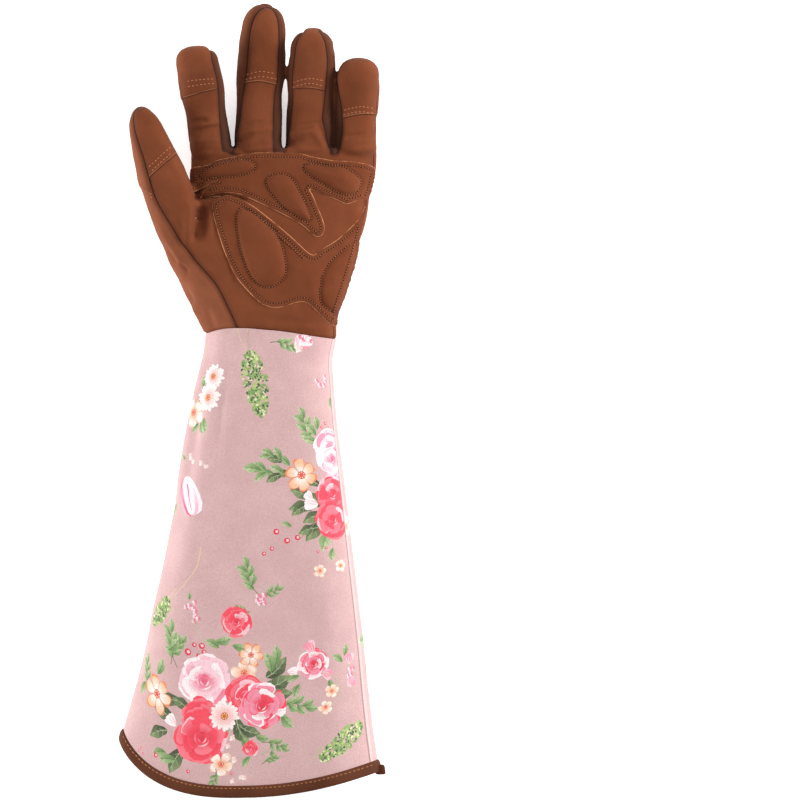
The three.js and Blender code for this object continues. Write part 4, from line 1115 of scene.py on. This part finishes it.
for k in np.unique(tops[tops >= 0]):
    mine = tops == k
    _, inner, outer, origin, reach = shapes[k]
    t = smoothStep(np.linalg.norm(co[faces[mine]] - origin, axis=2) / reach, 0.05, 1.0)[..., None]
    cornerColour[mine, :, :3] = linear(inner) * (1 - t) + linear(outer) * t
flip = np.cross(surface[faces[:, 1]] - surface[faces[:, 0]], surface[faces[:, 2]] - surface[faces[:, 0]])
flip = (flip * surfaceNormal[faces[:, 0]]).sum(1) < 0
faces[flip] = faces[flip][:, ::-1]
cornerColour[flip] = cornerColour[flip][:, ::-1]
cloth = makeObject("sleeve_cloth", surface, faces)
setNormals(cloth, surfaceNormal)
ink = cloth.data.color_attributes.new("ink", "FLOAT_COLOR", "CORNER")
ink.data.foreach_set("color", cornerColour.reshape(-1).astype(np.float32))
inked = cloth.data.attributes.new("inked", "FLOAT", "FACE")
inked.data.foreach_set("value", (tops >= 0).astype(np.float32))
addField(cloth, "around", co[:, 0])
addField(cloth, "along", co[:, 1])
addField(cloth, "seam", np.where(co[:, 0] < width / 2, co[:, 0], co[:, 0] - width))
innerRows, innerColumns = 60, 120
innerAngle = np.linspace(0, 2 * math.pi, innerColumns, endpoint=False)[None, :]
innerCloth = clothPoint(innerAngle, np.linspace(0.004, 0.996, innerRows)[:, None], -sleeve["wall"])
innerFaces = gridFaces(innerRows, innerColumns)[:, ::-1]
clothInside = makeObject("sleeve_inside", innerCloth.reshape(-1, 3), innerFaces)
pieces.update({"sleeve_cloth": cloth, "sleeve_inside": clothInside})

# The hem's binding: a folded strip with a rounded section
binding = {"width": 6.6, "thick": 2.1, "columns": 360, "profile": 20}
angle = np.linspace(0, 2 * math.pi, binding["columns"], endpoint=False)
tip = clothPoint(angle, 1.0)
back = clothPoint(angle, 1 - binding["width"] / sleeve["length"])
ahead = tip - back
ahead /= np.linalg.norm(ahead, axis=1, keepdims=True)
outward = clothPoint(angle, 1.0, 1) - clothPoint(angle, 1.0, 0)
ring = []
for t in np.linspace(0, 2 * math.pi, binding["profile"], endpoint=False):
    x, z = section(t, binding["width"] / 2 + 0.5, binding["thick"], 2.8)
    ring.append(tip + ahead * (x - binding["width"] / 2 - 0.2) + outward * (z - sleeve["wall"] / 2))
ring = np.stack(ring, 1)
ring[..., 2] = np.maximum(ring[..., 2], 0)
closeFaces = [list(f) for f in gridFaces(binding["columns"], binding["profile"])]
last = (binding["columns"] - 1) * binding["profile"]
for j in range(binding["profile"]):
    n = (j + 1) % binding["profile"]
    closeFaces.append([last + j, last + n, n, j])

# Its sewn ends stand out at the side seam as a small tab
tab = {"angle": 0.16, "long": 4.6, "wide": 6.4, "thick": 1.5, "square": 4}
foot = clothPoint(tab["angle"], 0.995)
outTo = clothPoint(tab["angle"], 0.995, 1) - foot
downTo = clothPoint(tab["angle"], 1.0) - clothPoint(tab["angle"], 0.97)
downTo /= np.linalg.norm(downTo)
acrossTo = np.cross(outTo, downTo)
tabRings = []
for share, size in ((-0.3, 0.9), (0.0, 1.0), (0.4, 1.0), (0.8, 0.97), (0.95, 0.85), (1.0, 0.6)):
    around = np.linspace(0, 2 * math.pi, 20, endpoint=False)
    x, z = section(around, tab["wide"] / 2 * size, tab["thick"] * size, tab["square"])
    tabRings.append(foot + outTo * tab["long"] * share + x[:, None] * downTo + z[:, None] * acrossTo)
tabPoints, tabFaces = closedLoft(tabRings, tabRings[0].mean(0), tabRings[-1].mean(0))
base = len(ring.reshape(-1, 3))
closeFaces += [[v + base for v in f] for f in tabFaces]
hem = makeObject("hem_strip", np.vstack([ring.reshape(-1, 3), tabPoints]), closeFaces)
pieces["hem_strip"] = hem
hemTree = treeOf(hem)

# The palm patch: one padded piece, cut and stitched on, with an arrow-shaped window open towards the thumb
patchStyle = {"grid": 0.95, "thick": 1.25, "roll": 1.0, "dome": 3.7, "domeSoft": 3.6, "groove": 0.55,
              "seamInset": 2.6}
patchOutline = [
    (191.4, 168), (206.8, 165), (217.5, 160), (237.6, 156), (255, 152.7), (280.4, 152.7), (300, 153.5),
    (310.5, 156.3), (324.6, 159), (333.7, 160.5), (350.5, 161.2), (360.3, 162.6), (367.3, 164.4),
    (373.2, 166.5), (375.4, 170.5), (373.6, 181.6), (370.9, 192), (367.3, 203), (365.2, 216.6),
    (361.6, 230.7), (358.2, 244.7), (352.6, 264.5), (344.6, 290), (338.3, 310), (336.5, 325),
    (328.7, 323.5), (322, 316.8), (315.3, 310), (308.6, 304), (301.9, 302), (293.8, 303.4), (284.5, 306.7),
    (273.7, 307.7), (263, 304.7), (256.3, 299.4), (247, 290), (236.3, 276.6), (226.9, 257.9), (220.2, 239),
    (214, 217.7), (212.4, 206), (213.4, 201.5), (217.5, 198), (223.4, 195.9), (228.5, 195.4),
    (233.6, 196.4), (241.2, 199.4), (255, 207.4), (273.7, 222), (292.5, 238), (311.5, 254.6), (321, 249.6),
    (329.5, 244.7), (337.9, 239), (344.9, 232.8), (351.9, 225.8), (358.2, 218.7), (361.7, 211.7),
    (363.5, 206), (363.9, 199.9), (361, 199.4), (353.3, 202), (346.3, 204), (336.5, 199.8), (328, 196.3),
    (317.5, 192), (309.8, 189.3), (312.6, 195), (316, 203), (319.6, 211.7), (322.4, 218.8), (324.6, 227),
    (323.6, 233.2), (320.2, 236.5), (316, 236.6), (311.2, 233.5), (305.6, 228), (296.5, 221.7),
    (280.4, 213), (260, 203.2), (248.9, 198), (241.2, 194.6), (233.6, 193), (225.9, 192.4), (218.3, 193),
    (210.6, 194.6), (204, 196.8), (200, 198), (201.5, 194.5), (205.5, 189), (210.5, 184.3), (216.5, 181),
    (212.7, 182), (207.6, 185.5), (200.4, 189), (192.9, 191.6), (191.2, 186), (190.8, 176),
]
padOutlines = {
    "index": [
        (200, 176), (207, 167.5), (217.5, 161), (233.6, 158.7), (247, 160.2), (253.7, 162.8), (255, 168.5),
        (249, 173.2), (237.6, 176), (218, 177.4), (204, 178.6),
    ],
    "centre": [
        (276.4, 173.5), (269, 176.5), (265.7, 181.5), (269.5, 190.5), (276.4, 200), (285, 208.5),
        (293.8, 215), (301.5, 219.8), (308, 221.9), (311, 219.5), (309.5, 213.5), (305.5, 203.5),
        (300.5, 193.6), (293.8, 181.2), (285.8, 174.8),
    ],
    "little": [
        (304.2, 164.7), (314, 164), (328, 166), (338.6, 166), (347.7, 169), (356, 174.6), (360.3, 179.5),
        (359.6, 187), (354.7, 193.5), (345.6, 195), (336.5, 192), (326.7, 186.5), (317.5, 181),
        (310.5, 176), (304.2, 170.3),
    ],
    "heel": [
        (239.5, 209), (236.6, 220.4), (238.9, 240.4), (244.3, 260.5), (251, 277), (260.4, 286),
        (271, 287.3), (280.4, 282), (285.8, 272.6), (284.5, 256.5), (279, 239), (269.7, 225.7),
        (257.7, 216.3), (247, 210),
    ],
    "side": [
        (351, 243.5), (342, 251), (334, 258), (328.5, 264.5), (324.6, 271), (321.5, 278), (320.6, 284.6),
        (319.6, 291), (320, 298), (321, 303), (324.5, 307.5), (331, 311.5), (345, 320), (375, 300),
        (385, 250), (368, 238),
    ],
}
print("stage: patch")


def paintedSheet(outline, spacing, tree):
    # A triangle mesh inside a plan outline, dropped on a surface: plan points, faces, heights and normals
    low, high = outline.min(0), outline.max(0)
    grid = []
    for j, y in enumerate(np.arange(low[1], high[1], spacing * 0.87)):
        x = np.arange(low[0] + (j % 2) * spacing / 2, high[0], spacing)
        grid.append(np.stack([x, np.full(len(x), y)], 1))
    grid = np.vstack(grid)
    grid = grid[outlineDistance(grid, outline) > spacing * 0.55]
    plan = np.vstack([outline, grid])
    edges = ringEdges(0, len(outline))
    co, _, faces, _, _, _ = delaunay_2d_cdt([Vector(p) for p in plan.tolist()], edges, [], 1, 1e-5)
    plan = np.array([list(v) for v in co])
    height, normal = drop(tree, plan)
    missing = np.isnan(height)
    if missing.any():
        found = plan[~missing]
        for k in np.nonzero(missing)[0]:
            nearest = ((found - plan[k]) ** 2).sum(1).argmin()
            height[k] = height[~missing][nearest]
            normal[k] = normal[~missing][nearest]
    pairs = np.array([(f[a], f[(a + 1) % 3]) for f in faces for a in range(3)])
    pairs = np.vstack([pairs, pairs[:, ::-1]])
    count = np.bincount(pairs[:, 0], minlength=len(plan))[:, None]
    steep = 1 - smoothStep(normal[:, 2], 0.3, 0.65)
    for turn in range(9):
        # Three passes over the whole sheet, six more where it is steep
        share = np.full(len(plan), 0.5) if turn < 3 else 0.5 * steep
        total = np.zeros((len(plan), 4))
        np.add.at(total, pairs[:, 0], np.column_stack([height, normal])[pairs[:, 1]])
        mean = total / np.maximum(count, 1)
        height = height + (mean[:, 0] - height) * share
        normal = normal + (mean[:, 1:] - normal) * share[:, None]
    normal /= np.linalg.norm(normal, axis=1, keepdims=True)
    return plan, [list(f) for f in faces], height, normal


edge = resample(pixelPlan(patchOutline, 0.033), patchStyle["grid"], closed=True)
padEdges = {name: resample(pixelPlan(outline, 0.035), 1.0, closed=True)
            for name, outline in padOutlines.items()}
plan, faces, height, normal = paintedSheet(edge, patchStyle["grid"], handTree)
fromEdge = outlineDistance(plan, edge)
fromPad = np.max([outlineDistance(plan, pad) for pad in padEdges.values()], axis=0)
t = np.clip(fromEdge / patchStyle["roll"], 0, 1)
thick = 0.1 + patchStyle["thick"] * np.sqrt(1 - (1 - t) ** 2)
dome = patchStyle["dome"] * (1 - np.exp(-np.maximum(fromPad, 0) / patchStyle["domeSoft"]))
groove = patchStyle["groove"] * np.exp(-((fromPad / 0.9) ** 2))
groove += 0.35 * np.exp(-(((fromEdge - patchStyle["seamInset"]) / 0.8) ** 2))
uneven = 0.16 * waves(plan, 18, 3) + 0.05 * waves(plan, 5, 4)
thick = thick + (dome * smoothStep(normal[:, 2], 0.15, 0.75) - groove + uneven) * smoothStep(fromEdge, 0, 1.5)
patchPoints = np.column_stack([plan, height]) + normal * thick[:, None]
patch = makeObject("palm_padding", patchPoints, faces)
addField(patch, "edge", fromEdge)
addField(patch, "pad", fromPad)
pieces["palm_padding"] = patch
patchTree = treeOf(patch)


# Stitches are small rounded bars of thread that lie in rows on a surface.
class Thread:
    def __init__(self):
        self.points, self.faces = [], []

    def bar(self, a, b, up, radius):
        along = b - a
        length = np.linalg.norm(along)
        along = along / length
        up = up - along * (up @ along)
        up = up / np.linalg.norm(up)
        side = np.cross(along, up)
        base = len(self.points)
        for t, r in ((0.0, 0.35), (0.12, 0.8), (0.35, 1.0), (0.65, 1.0), (0.88, 0.8), (1.0, 0.35)):
            bend = math.sin(math.pi * t) * 0.35 * radius
            centre = a + along * (t * length) + up * bend
            for k in range(6):
                turn = k * math.pi / 3
                self.points.append(centre + radius * r * (math.cos(turn) * side + math.sin(turn) * up))
        for i in range(5):
            for k in range(6):
                n = (k + 1) % 6
                lower, upper = base + i * 6, base + (i + 1) * 6
                self.faces.append((lower + k, lower + n, upper + n, upper + k))
        self.faces.append(tuple(base + k for k in reversed(range(6))))
        self.faces.append(tuple(base + 30 + k for k in range(6)))

    def row(self, line, tree, length, gap, radius, sink=0.05, jitter=0.06, gapShade=None):
        # Bars along a plan line, laid on the surface under it. A second thread can take dark bars of painted
        # shade in the gaps, where the thread sinks into the leather
        steps = np.r_[0, np.cumsum(np.linalg.norm(np.diff(line, axis=0), axis=1))]
        count = int(steps[-1] // (length + gap))
        for k in range(count):
            start = (k + 0.5) * steps[-1] / count - length / 2
            ends = []
            for at in (start, start + length):
                plan = np.array([np.interp(at, steps, line[:, 0]), np.interp(at, steps, line[:, 1])])
                plan += rng.normal(size=2) * jitter
                above = Vector((plan[0] * mm, plan[1] * mm, 0.12))
                place, normal, _, _ = tree.ray_cast(above, Vector((0, 0, -1)))
                if place is not None:
                    ends.append((np.array(place) / mm, np.array(normal)))
            if len(ends) == 2 and abs(ends[0][0][2] - ends[1][0][2]) < 2.5:
                up = ends[0][1] + ends[1][1]
                up = up / np.linalg.norm(up)
                lift = up * (radius * 0.45 - sink)
                self.bar(ends[0][0] + lift, ends[1][0] + lift, up, radius)
                # A dark bar of painted shade fills the gap after this stitch
                if gapShade:
                    ahead = ends[1][0] - ends[0][0]
                    ahead /= np.linalg.norm(ahead) + 1e-9
                    gapShade.bar(ends[1][0] - ahead * 0.05, ends[1][0] + ahead * (gap + 0.05), up, radius * 1.4)

    def make(self, name):
        return makeObject(name, np.array(self.points), self.faces)


def inset(outline, distance):
    # A closed line inside an outline, at an even distance from it
    ahead = np.roll(outline, -1, axis=0) - np.roll(outline, 1, axis=0)
    ahead /= np.linalg.norm(ahead, axis=1, keepdims=True)
    side = np.stack([-ahead[:, 1], ahead[:, 0]], 1)
    shifted = outline + side * distance
    flipped = outline - side * distance
    if outlineDistance(shifted, outline).mean() < 0:
        shifted = flipped
    return shifted[outlineDistance(shifted, outline) > abs(distance) * 0.93]


print("stage: stitches")
# Each kind of row: length of a stitch, gap and radius in millimetres. hemEdge is the distance to the hem.
stitches = {"patch": (0.95, 0.75, 0.3), "pad": (0.9, 0.75, 0.3), "cap": (1.4, 0.9, 0.26),
            "hem": (1.7, 1.0, 0.26), "hemEdge": 5.4}
# The second thread holds dark bars of painted shade in the gaps between stitches
patchThread, stitchGapShade = Thread(), Thread()
row = inset(edge, patchStyle["seamInset"])
breaks = np.nonzero(np.linalg.norm(np.diff(row, axis=0), axis=1) > 6)[0]
for part in np.split(row, breaks + 1):
    if len(part) > 3:
        patchThread.row(part, patchTree, *stitches["patch"], gapShade=stitchGapShade)
for name, pad in padEdges.items():
    kept = pad[outlineDistance(pad, edge) > 1.2]
    line = np.vstack([kept, kept[:1]])
    if name == "side":
        # This pad runs out under the hand's edge, so only its first 12 points carry stitches
        line = resample(pixelPlan(padOutlines["side"][:12], 0.035), 1)
    patchThread.row(line, patchTree, *stitches["pad"], gapShade=stitchGapShade)
heelRow = resample(pixelPlan([(304.5, 259.5), (260.4, 219)], 0.034), 1)
patchThread.row(heelRow, patchTree, *stitches["patch"], gapShade=stitchGapShade)
pieces["patch_thread"] = patchThread.make("patch_thread")
pieces["stitch_gap_shade"] = stitchGapShade.make("stitch_gap_shade")

handThread = Thread()
capRows = {
    "index": [[(186.6, 81.2), (203, 79.6), (217.6, 78.8)], [(187.4, 86.6), (203, 84.4), (218.6, 82.8)]],
    "middle": [[(245.2, 74.6), (261, 71.4), (278.4, 74.2)], [(244.4, 79.4), (261, 76.4), (277.6, 79.2)]],
    "ring": [[(292.2, 82.4), (309, 78.6), (326.8, 81.4)], [(292, 87), (309, 83.4), (326.2, 86.6)]],
    "little": [[(343, 110), (360, 106.6), (377, 108.6)], [(342.4, 114.8), (360, 111.6), (377.2, 113.4)]],
    "thumb": [[(148.6, 167.5), (171, 146.5)], [(151.5, 171.5), (173.8, 150.6)]],
    "back": [[(136.4, 188), (152.6, 194.6)], [(138, 192), (153.6, 198)]],
}
for rows in capRows.values():
    for row in rows:
        line = resample(pixelPlan(row, 0.036), 1, smooth=len(row) > 2)
        handThread.row(line, handTree, *stitches["cap"])
pieces["cap_thread"] = handThread.make("cap_thread")
hemThread = Thread()
turnLine = np.linspace(0.3, math.pi - 0.12, 300)
hemPlan = clothPoint(turnLine, 1 - stitches["hemEdge"] / sleeve["length"])[:, :2]
hemThread.row(hemPlan, hemTree, *stitches["hem"])
pieces["hem_thread"] = hemThread.make("hem_thread")


# Materials. Each varies its colour, roughness and surface with nodes.
class Signal:
    # A socket with arithmetic: each sign adds a Math node
    def __init__(self, nodes, socket):
        self.nodes, self.socket = nodes, socket

    def math(self, operation, *others):
        return self.nodes.add("ShaderNodeMath", {"operation": operation}, dict(enumerate([self, *others])))

    def __add__(self, other):
        return self.math("ADD", other)

    def __sub__(self, other):
        return self.math("SUBTRACT", other)

    def __rsub__(self, other):
        return self.nodes.add("ShaderNodeMath", {"operation": "SUBTRACT"}, {0: other, 1: self})

    def __mul__(self, other):
        return self.math("MULTIPLY", other)

    __radd__, __rmul__ = __add__, __mul__

    def __abs__(self):
        return self.math("ABSOLUTE")

    def high(self, other):
        return self.math("MAXIMUM", other)

    def sine(self):
        return self.math("SINE")

    def ramp(self, low, high, start=0.0, end=1.0):
        sockets = {"Value": self, "From Min": low, "From Max": high, "To Min": start, "To Max": end}
        return self.nodes.add("ShaderNodeMapRange", {"interpolation_type": "SMOOTHSTEP"}, sockets)


class Material:
    # One material's node tree
    def __init__(self, name, slot):
        self.slot = slot
        self.material = bpy.data.materials.new(name)
        self.material.use_nodes = True
        self.tree = self.material.node_tree
        self.tree.nodes.clear()
        self.place = self.add("ShaderNodeTexCoord", output="Object")

    def add(self, kind, settings=None, inputs=None, output=0):
        node = self.tree.nodes.new(kind)
        for key, value in (settings or {}).items():
            setattr(node, key, value)
        for key, value in (inputs or {}).items():
            self.feed(node.inputs[key], value)
        return Signal(self, node.outputs[output])

    def feed(self, socket, value):
        if isinstance(value, Signal):
            self.tree.links.new(value.socket, socket)
        else:
            socket.default_value = value

    def noise(self, scale, detail=2.0, rough=0.5, stretch=None):
        place = self.place
        if stretch:
            place = self.add("ShaderNodeVectorMath", {"operation": "MULTIPLY"}, {0: place, 1: stretch})
        sockets = {"Vector": place, "Scale": scale, "Detail": detail, "Roughness": rough}
        return self.add("ShaderNodeTexNoise", None, sockets)

    def field(self, name):
        return self.add("ShaderNodeAttribute", {"attribute_name": name}, output="Fac")

    def colourField(self, name):
        return self.add("ShaderNodeAttribute", {"attribute_name": name}, output="Color")

    def mix(self, factor, a, b, blend="MIX"):
        node = self.tree.nodes.new("ShaderNodeMix")
        node.data_type = "RGBA"
        node.blend_type = blend
        self.feed(node.inputs[0], factor)
        self.feed(node.inputs[6], a)
        self.feed(node.inputs[7], b)
        return Signal(self, node.outputs[2])

    def bump(self, height, strength, distance, under=None):
        inputs = {"Height": height, "Strength": strength, "Distance": distance}
        if under:
            inputs["Normal"] = under
        return self.add("ShaderNodeBump", None, inputs, "Normal")

    def finish(self, colour, roughness, normal=None, **constant):
        shader = self.tree.nodes.new("ShaderNodeBsdfPrincipled")
        self.feed(shader.inputs["Base Color"], colour)
        self.feed(shader.inputs["Roughness"], roughness)
        if normal:
            self.feed(shader.inputs["Normal"], normal)
        for key, value in constant.items():
            shader.inputs[key].default_value = value
        out = self.tree.nodes.new("ShaderNodeOutputMaterial")
        self.tree.links.new(shader.outputs[0], out.inputs[0])
        return self


def colour(red, green, blue, gain=1.0):
    # Screen values of 0 to 255 as linear light
    value = [((c / 255 + 0.055) / 1.055) ** 2.4 if c > 10 else c / 255 / 12.92 for c in (red, green, blue)]
    return (*[min(1, v * gain) for v in value], 1)


def leather(name, slot, base, dark, lines=()):
    # Suede: soft mottling, a fine nap and darker seam lines where a field crosses nothing, each with a soft
    # band of painted shade beside it
    m = Material(name, slot)
    broad, middle, fine = m.noise(38, 3), m.noise(190, 3, 0.6), m.noise(1500, 3, 0.65)
    nap = m.noise(700, 2, 0.6, (1, 0.35, 1))
    tone = m.mix(broad.ramp(0.3, 0.72), dark, base)
    tone = m.mix(middle.ramp(0.35, 0.75, 0, 0.22), tone, [c * 1.22 for c in base[:3]] + [1])
    tone = m.mix(fine.ramp(0.42, 0.62, 0, 0.2), tone, [c * 0.72 for c in base[:3]] + [1])
    height = fine * 0.5 + nap * 0.3 + middle * 0.8
    for field, width, shade in lines:
        near = abs(m.field(field)).ramp(0.15 * width, width, 1, 0)
        # A soft band of painted shade on each side of the seam line
        shadeBesideSeam = abs(m.field(field)).ramp(width, width * 4.5, 0.35, 0)
        tone = m.mix((near * 0.92).high(shadeBesideSeam), tone, shade)
        height = height - near * 2.2
    rough = middle.ramp(0.3, 0.7, 0.74, 0.9)
    return m, tone, rough, height


suede = {"Specular IOR Level": 0.06, "Sheen Weight": 0.04, "Sheen Roughness": 0.5}
seamShade = colour(40, 19, 11)
seamLinesOf = {"strip": [("fourchette", 0.75, seamShade)]}
seamLinesOf["panel"] = seamLinesOf["strip"] + [("panel", 0.75, seamShade)]
base = {
    "palm": (colour(113, 61, 37), colour(101, 52, 30)), "back": (colour(130, 75, 51), colour(116, 65, 43)),
    "patch": (colour(108, 57, 34), colour(98, 50, 28)), "strip": (colour(112, 63, 41), colour(98, 54, 35)),
    "hem": (colour(88, 50, 33), colour(76, 41, 26)),
}
m, tone, rough, height = leather("palm_suede", "palm_leather", *base["palm"], seamLinesOf["panel"])
capLine = m.field("cap")
tone = m.mix(capLine.ramp(-0.9, -0.1) * capLine.ramp(-0.1, 0.35, 1, 0) * 0.8, tone, seamShade)
# Painted highlight: a thin pale line along the cap's raised edge, broken by noise
capEdgeHighlight = capLine.ramp(0.1, 0.3) * capLine.ramp(0.5, 0.8, 1, 0) * m.noise(160, 2).ramp(0.35, 0.55, 0.2, 1)
tone = m.mix(capEdgeHighlight * 0.4, tone, colour(190, 128, 92))
palmMaterial = m.finish(tone, rough, m.bump(height, 0.35, 0.0006), **suede)
m, tone, rough, height = leather("back_suede", "back_leather", *base["back"], seamLinesOf["panel"])
backMaterial = m.finish(tone, rough, m.bump(height, 0.35, 0.0006), **suede)
m, tone, rough, height = leather("strip_suede", "back_leather", *base["strip"], seamLinesOf["strip"])
# Painted shade: the deep field darkens strips that face right or lie low beside a crotch
tone = m.mix(m.field("deep") * 0.75, tone, colour(58, 34, 25))
stripMaterial = m.finish(tone, rough, m.bump(height, 0.35, 0.0006), **suede)
m, tone, rough, height = leather("patch_suede", "patch_leather", *base["patch"])
fromEdgeField, fromPadField = m.field("edge"), m.field("pad")
tone = m.mix(abs(fromPadField).ramp(0.1, 1.2, 0.14, 0), tone, seamShade)
tone = m.mix(abs(fromEdgeField - patchStyle["seamInset"]).ramp(0.1, 0.9, 0.14, 0), tone, seamShade)
# The patch's rim: the pale cut edge of the leather together with a painted highlight on its rolled edge,
# broken by noise
cutEdgeAndHighlight = fromEdgeField.ramp(0.15, 0.5, 1, 0) * m.noise(160, 2).ramp(0.35, 0.55, 0.2, 1)
tone = m.mix(cutEdgeAndHighlight * 0.8, tone, colour(214, 150, 108))
patchMaterial = m.finish(tone, rough, m.bump(height, 0.35, 0.0006), **suede)
m, tone, rough, height = leather("hem_suede", "hem_leather", *base["hem"])
hemMaterial = m.finish(tone, rough, m.bump(height, 0.4, 0.0006), **suede)
m, tone, rough, height = leather("inside_suede", "back_leather", colour(176, 130, 102), colour(150, 108, 84))
insideMaterial = m.finish(tone, rough, m.bump(height, 0.5, 0.0006))


def threadMaterial(name, tone):
    m = Material(name, "patch_leather")
    twist = m.noise(2600, 1)
    twisted = m.mix(twist.ramp(0.35, 0.65), [c * 0.7 for c in tone[:3]] + [1], tone)
    return m.finish(twisted, m.noise(900).ramp(0.3, 0.7, 0.55, 0.75), m.bump(twist, 0.4, 0.0002), **suede)


canvas = {"Specular IOR Level": 0.2, "Sheen Weight": 0.22, "Sheen Roughness": 0.5}


def printedCanvas():
    m = Material("printed_canvas", "floral_cloth")
    mottle, fine = m.noise(60, 3), m.noise(2300, 2, 0.6)
    pink, paler = colour(192, 157, 156), colour(198, 164, 162)
    tone = m.mix(mottle.ramp(0.35, 0.7), pink, paler)
    tone = m.mix(m.field("inked"), tone, m.colourField("ink"))
    tone = m.mix(fine.ramp(0.38, 0.66, 0, 0.2), tone, colour(132, 100, 100))
    grain = m.noise(1150, 2, 0.6)
    tone = m.mix(grain.ramp(0.4, 0.62, 0, 0.16), tone, colour(150, 116, 116))
    twill = ((m.field("around") + m.field("along")) * 5.1 + m.noise(240) * 5).sine()
    height = twill * 0.35 + grain * 2.2 + fine
    rough = mottle.ramp(0.3, 0.7, 0.82, 0.94)
    # The side seam: a line of painted shade, with a fold of cloth standing beside it that is raised by bump
    # and lightened with a painted highlight
    seam = m.field("seam")
    tone = m.mix(seam.ramp(-0.1, 0.15) * seam.ramp(0.4, 1.3, 0.7, 0), tone, colour(128, 88, 90))
    fold = seam.ramp(-3.2, -1.6) * seam.ramp(-0.5, 0.1, 1, 0)
    # Painted highlight on the fold's ridge
    tone = m.mix(fold * 0.45, tone, colour(226, 196, 194))
    height = height + fold * 5
    return m.finish(tone, rough, m.bump(height, 0.45, 0.0003), **canvas)


def plainCanvas():
    m = Material("canvas_inside", "floral_cloth")
    mottle, fine = m.noise(60, 3), m.noise(2300, 2, 0.6)
    tone = m.mix(mottle.ramp(0.35, 0.7), colour(214, 190, 188), colour(226, 206, 203))
    return m.finish(tone, mottle.ramp(0.3, 0.7, 0.85, 0.95), m.bump(fine, 0.4, 0.0003))


finishes = {
    "palm_side": palmMaterial, "hand_back": backMaterial, "side_strip_index_middle": stripMaterial,
    "side_strip_middle_ring": stripMaterial, "side_strip_ring_little": stripMaterial,
    "hand_inside": insideMaterial, "palm_padding": patchMaterial,
    "patch_thread": threadMaterial("patch_thread", colour(160, 98, 66)),
    # Dark painted shade for the gaps between stitches
    "stitch_gap_shade": threadMaterial("stitch_gap_shade", colour(48, 25, 16)),
    "cap_thread": threadMaterial("cap_thread", colour(178, 118, 84)),
    "hem_thread": threadMaterial("hem_thread", colour(170, 112, 76)),
    "sleeve_cloth": printedCanvas(), "sleeve_inside": plainCanvas(), "hem_strip": hemMaterial,
}
for name, thing in pieces.items():
    thing.data.materials.clear()
    thing.data.materials.append(finishes[name].material)
    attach(thing, "root")
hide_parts("palm_panel", "index_tip_cap", "middle_tip_cap", "ring_tip_cap",
            "little_tip_cap", "thumb_tip_cap")
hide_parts("back_panel", "thumb_back_cap")
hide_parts("fourchette_index_middle")
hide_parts("fourchette_middle_ring")
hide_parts("fourchette_ring_little")
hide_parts("palm_patch")
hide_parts("sleeve")
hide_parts("hem_binding")

# The floor, the light and the camera
studio = {"floor": 0.93, "glow": 0.5, "world": 0.78, "key": 27.0, "fill": 26.0}
floorMaterial = Material("floor_paper", "floor")
paper = floorMaterial.noise(9, 2)
paperTones = [(studio["floor"] * share,) * 3 + (1,) for share in (1, 1.02)]
floorMaterial.finish(floorMaterial.mix(paper.ramp(0.3, 0.7), *paperTones), paper.ramp(0.3, 0.7, 0.85, 0.95),
                     **{"Emission Strength": studio["glow"]})
bpy.ops.mesh.primitive_plane_add(size=6, location=(0, 0, -0.0004))
floor = bpy.context.object
floor.name = "floor"
floor.data.materials.append(floorMaterial.material)
world = bpy.data.worlds.new("studio")
bpy.context.scene.world = world
world.use_nodes = True
world.node_tree.nodes["Background"].inputs[0].default_value = (1, 1, 1, 1)
world.node_tree.nodes["Background"].inputs[1].default_value = studio["world"]


def panelLight(name, place, size, power):
    light = bpy.data.lights.new(name, "AREA")
    light.size = size
    light.energy = power
    thing = bpy.data.objects.new(name, light)
    thing.location = place
    thing.rotation_euler = Vector(place).to_track_quat("Z", "Y").to_euler()
    bpy.context.scene.collection.objects.link(thing)


panelLight("key_light", (1.25, 0.6, 0.62), 0.6, studio["key"])
panelLight("fill_light", (-1.4, -0.1, 0.2), 0.7, studio["fill"])
camera = bpy.data.cameras.new("camera")
camera.lens, camera.sensor_width = 600, 36
cameraThing = bpy.data.objects.new("camera", camera)
cameraThing.location = (0.09126, 0.0003, photo["plane"] + photo["distance"])
bpy.context.scene.collection.objects.link(cameraThing)
bpy.context.scene.camera = cameraThing
bpy.context.scene.view_settings.view_transform = "Standard"
print("stage: done")
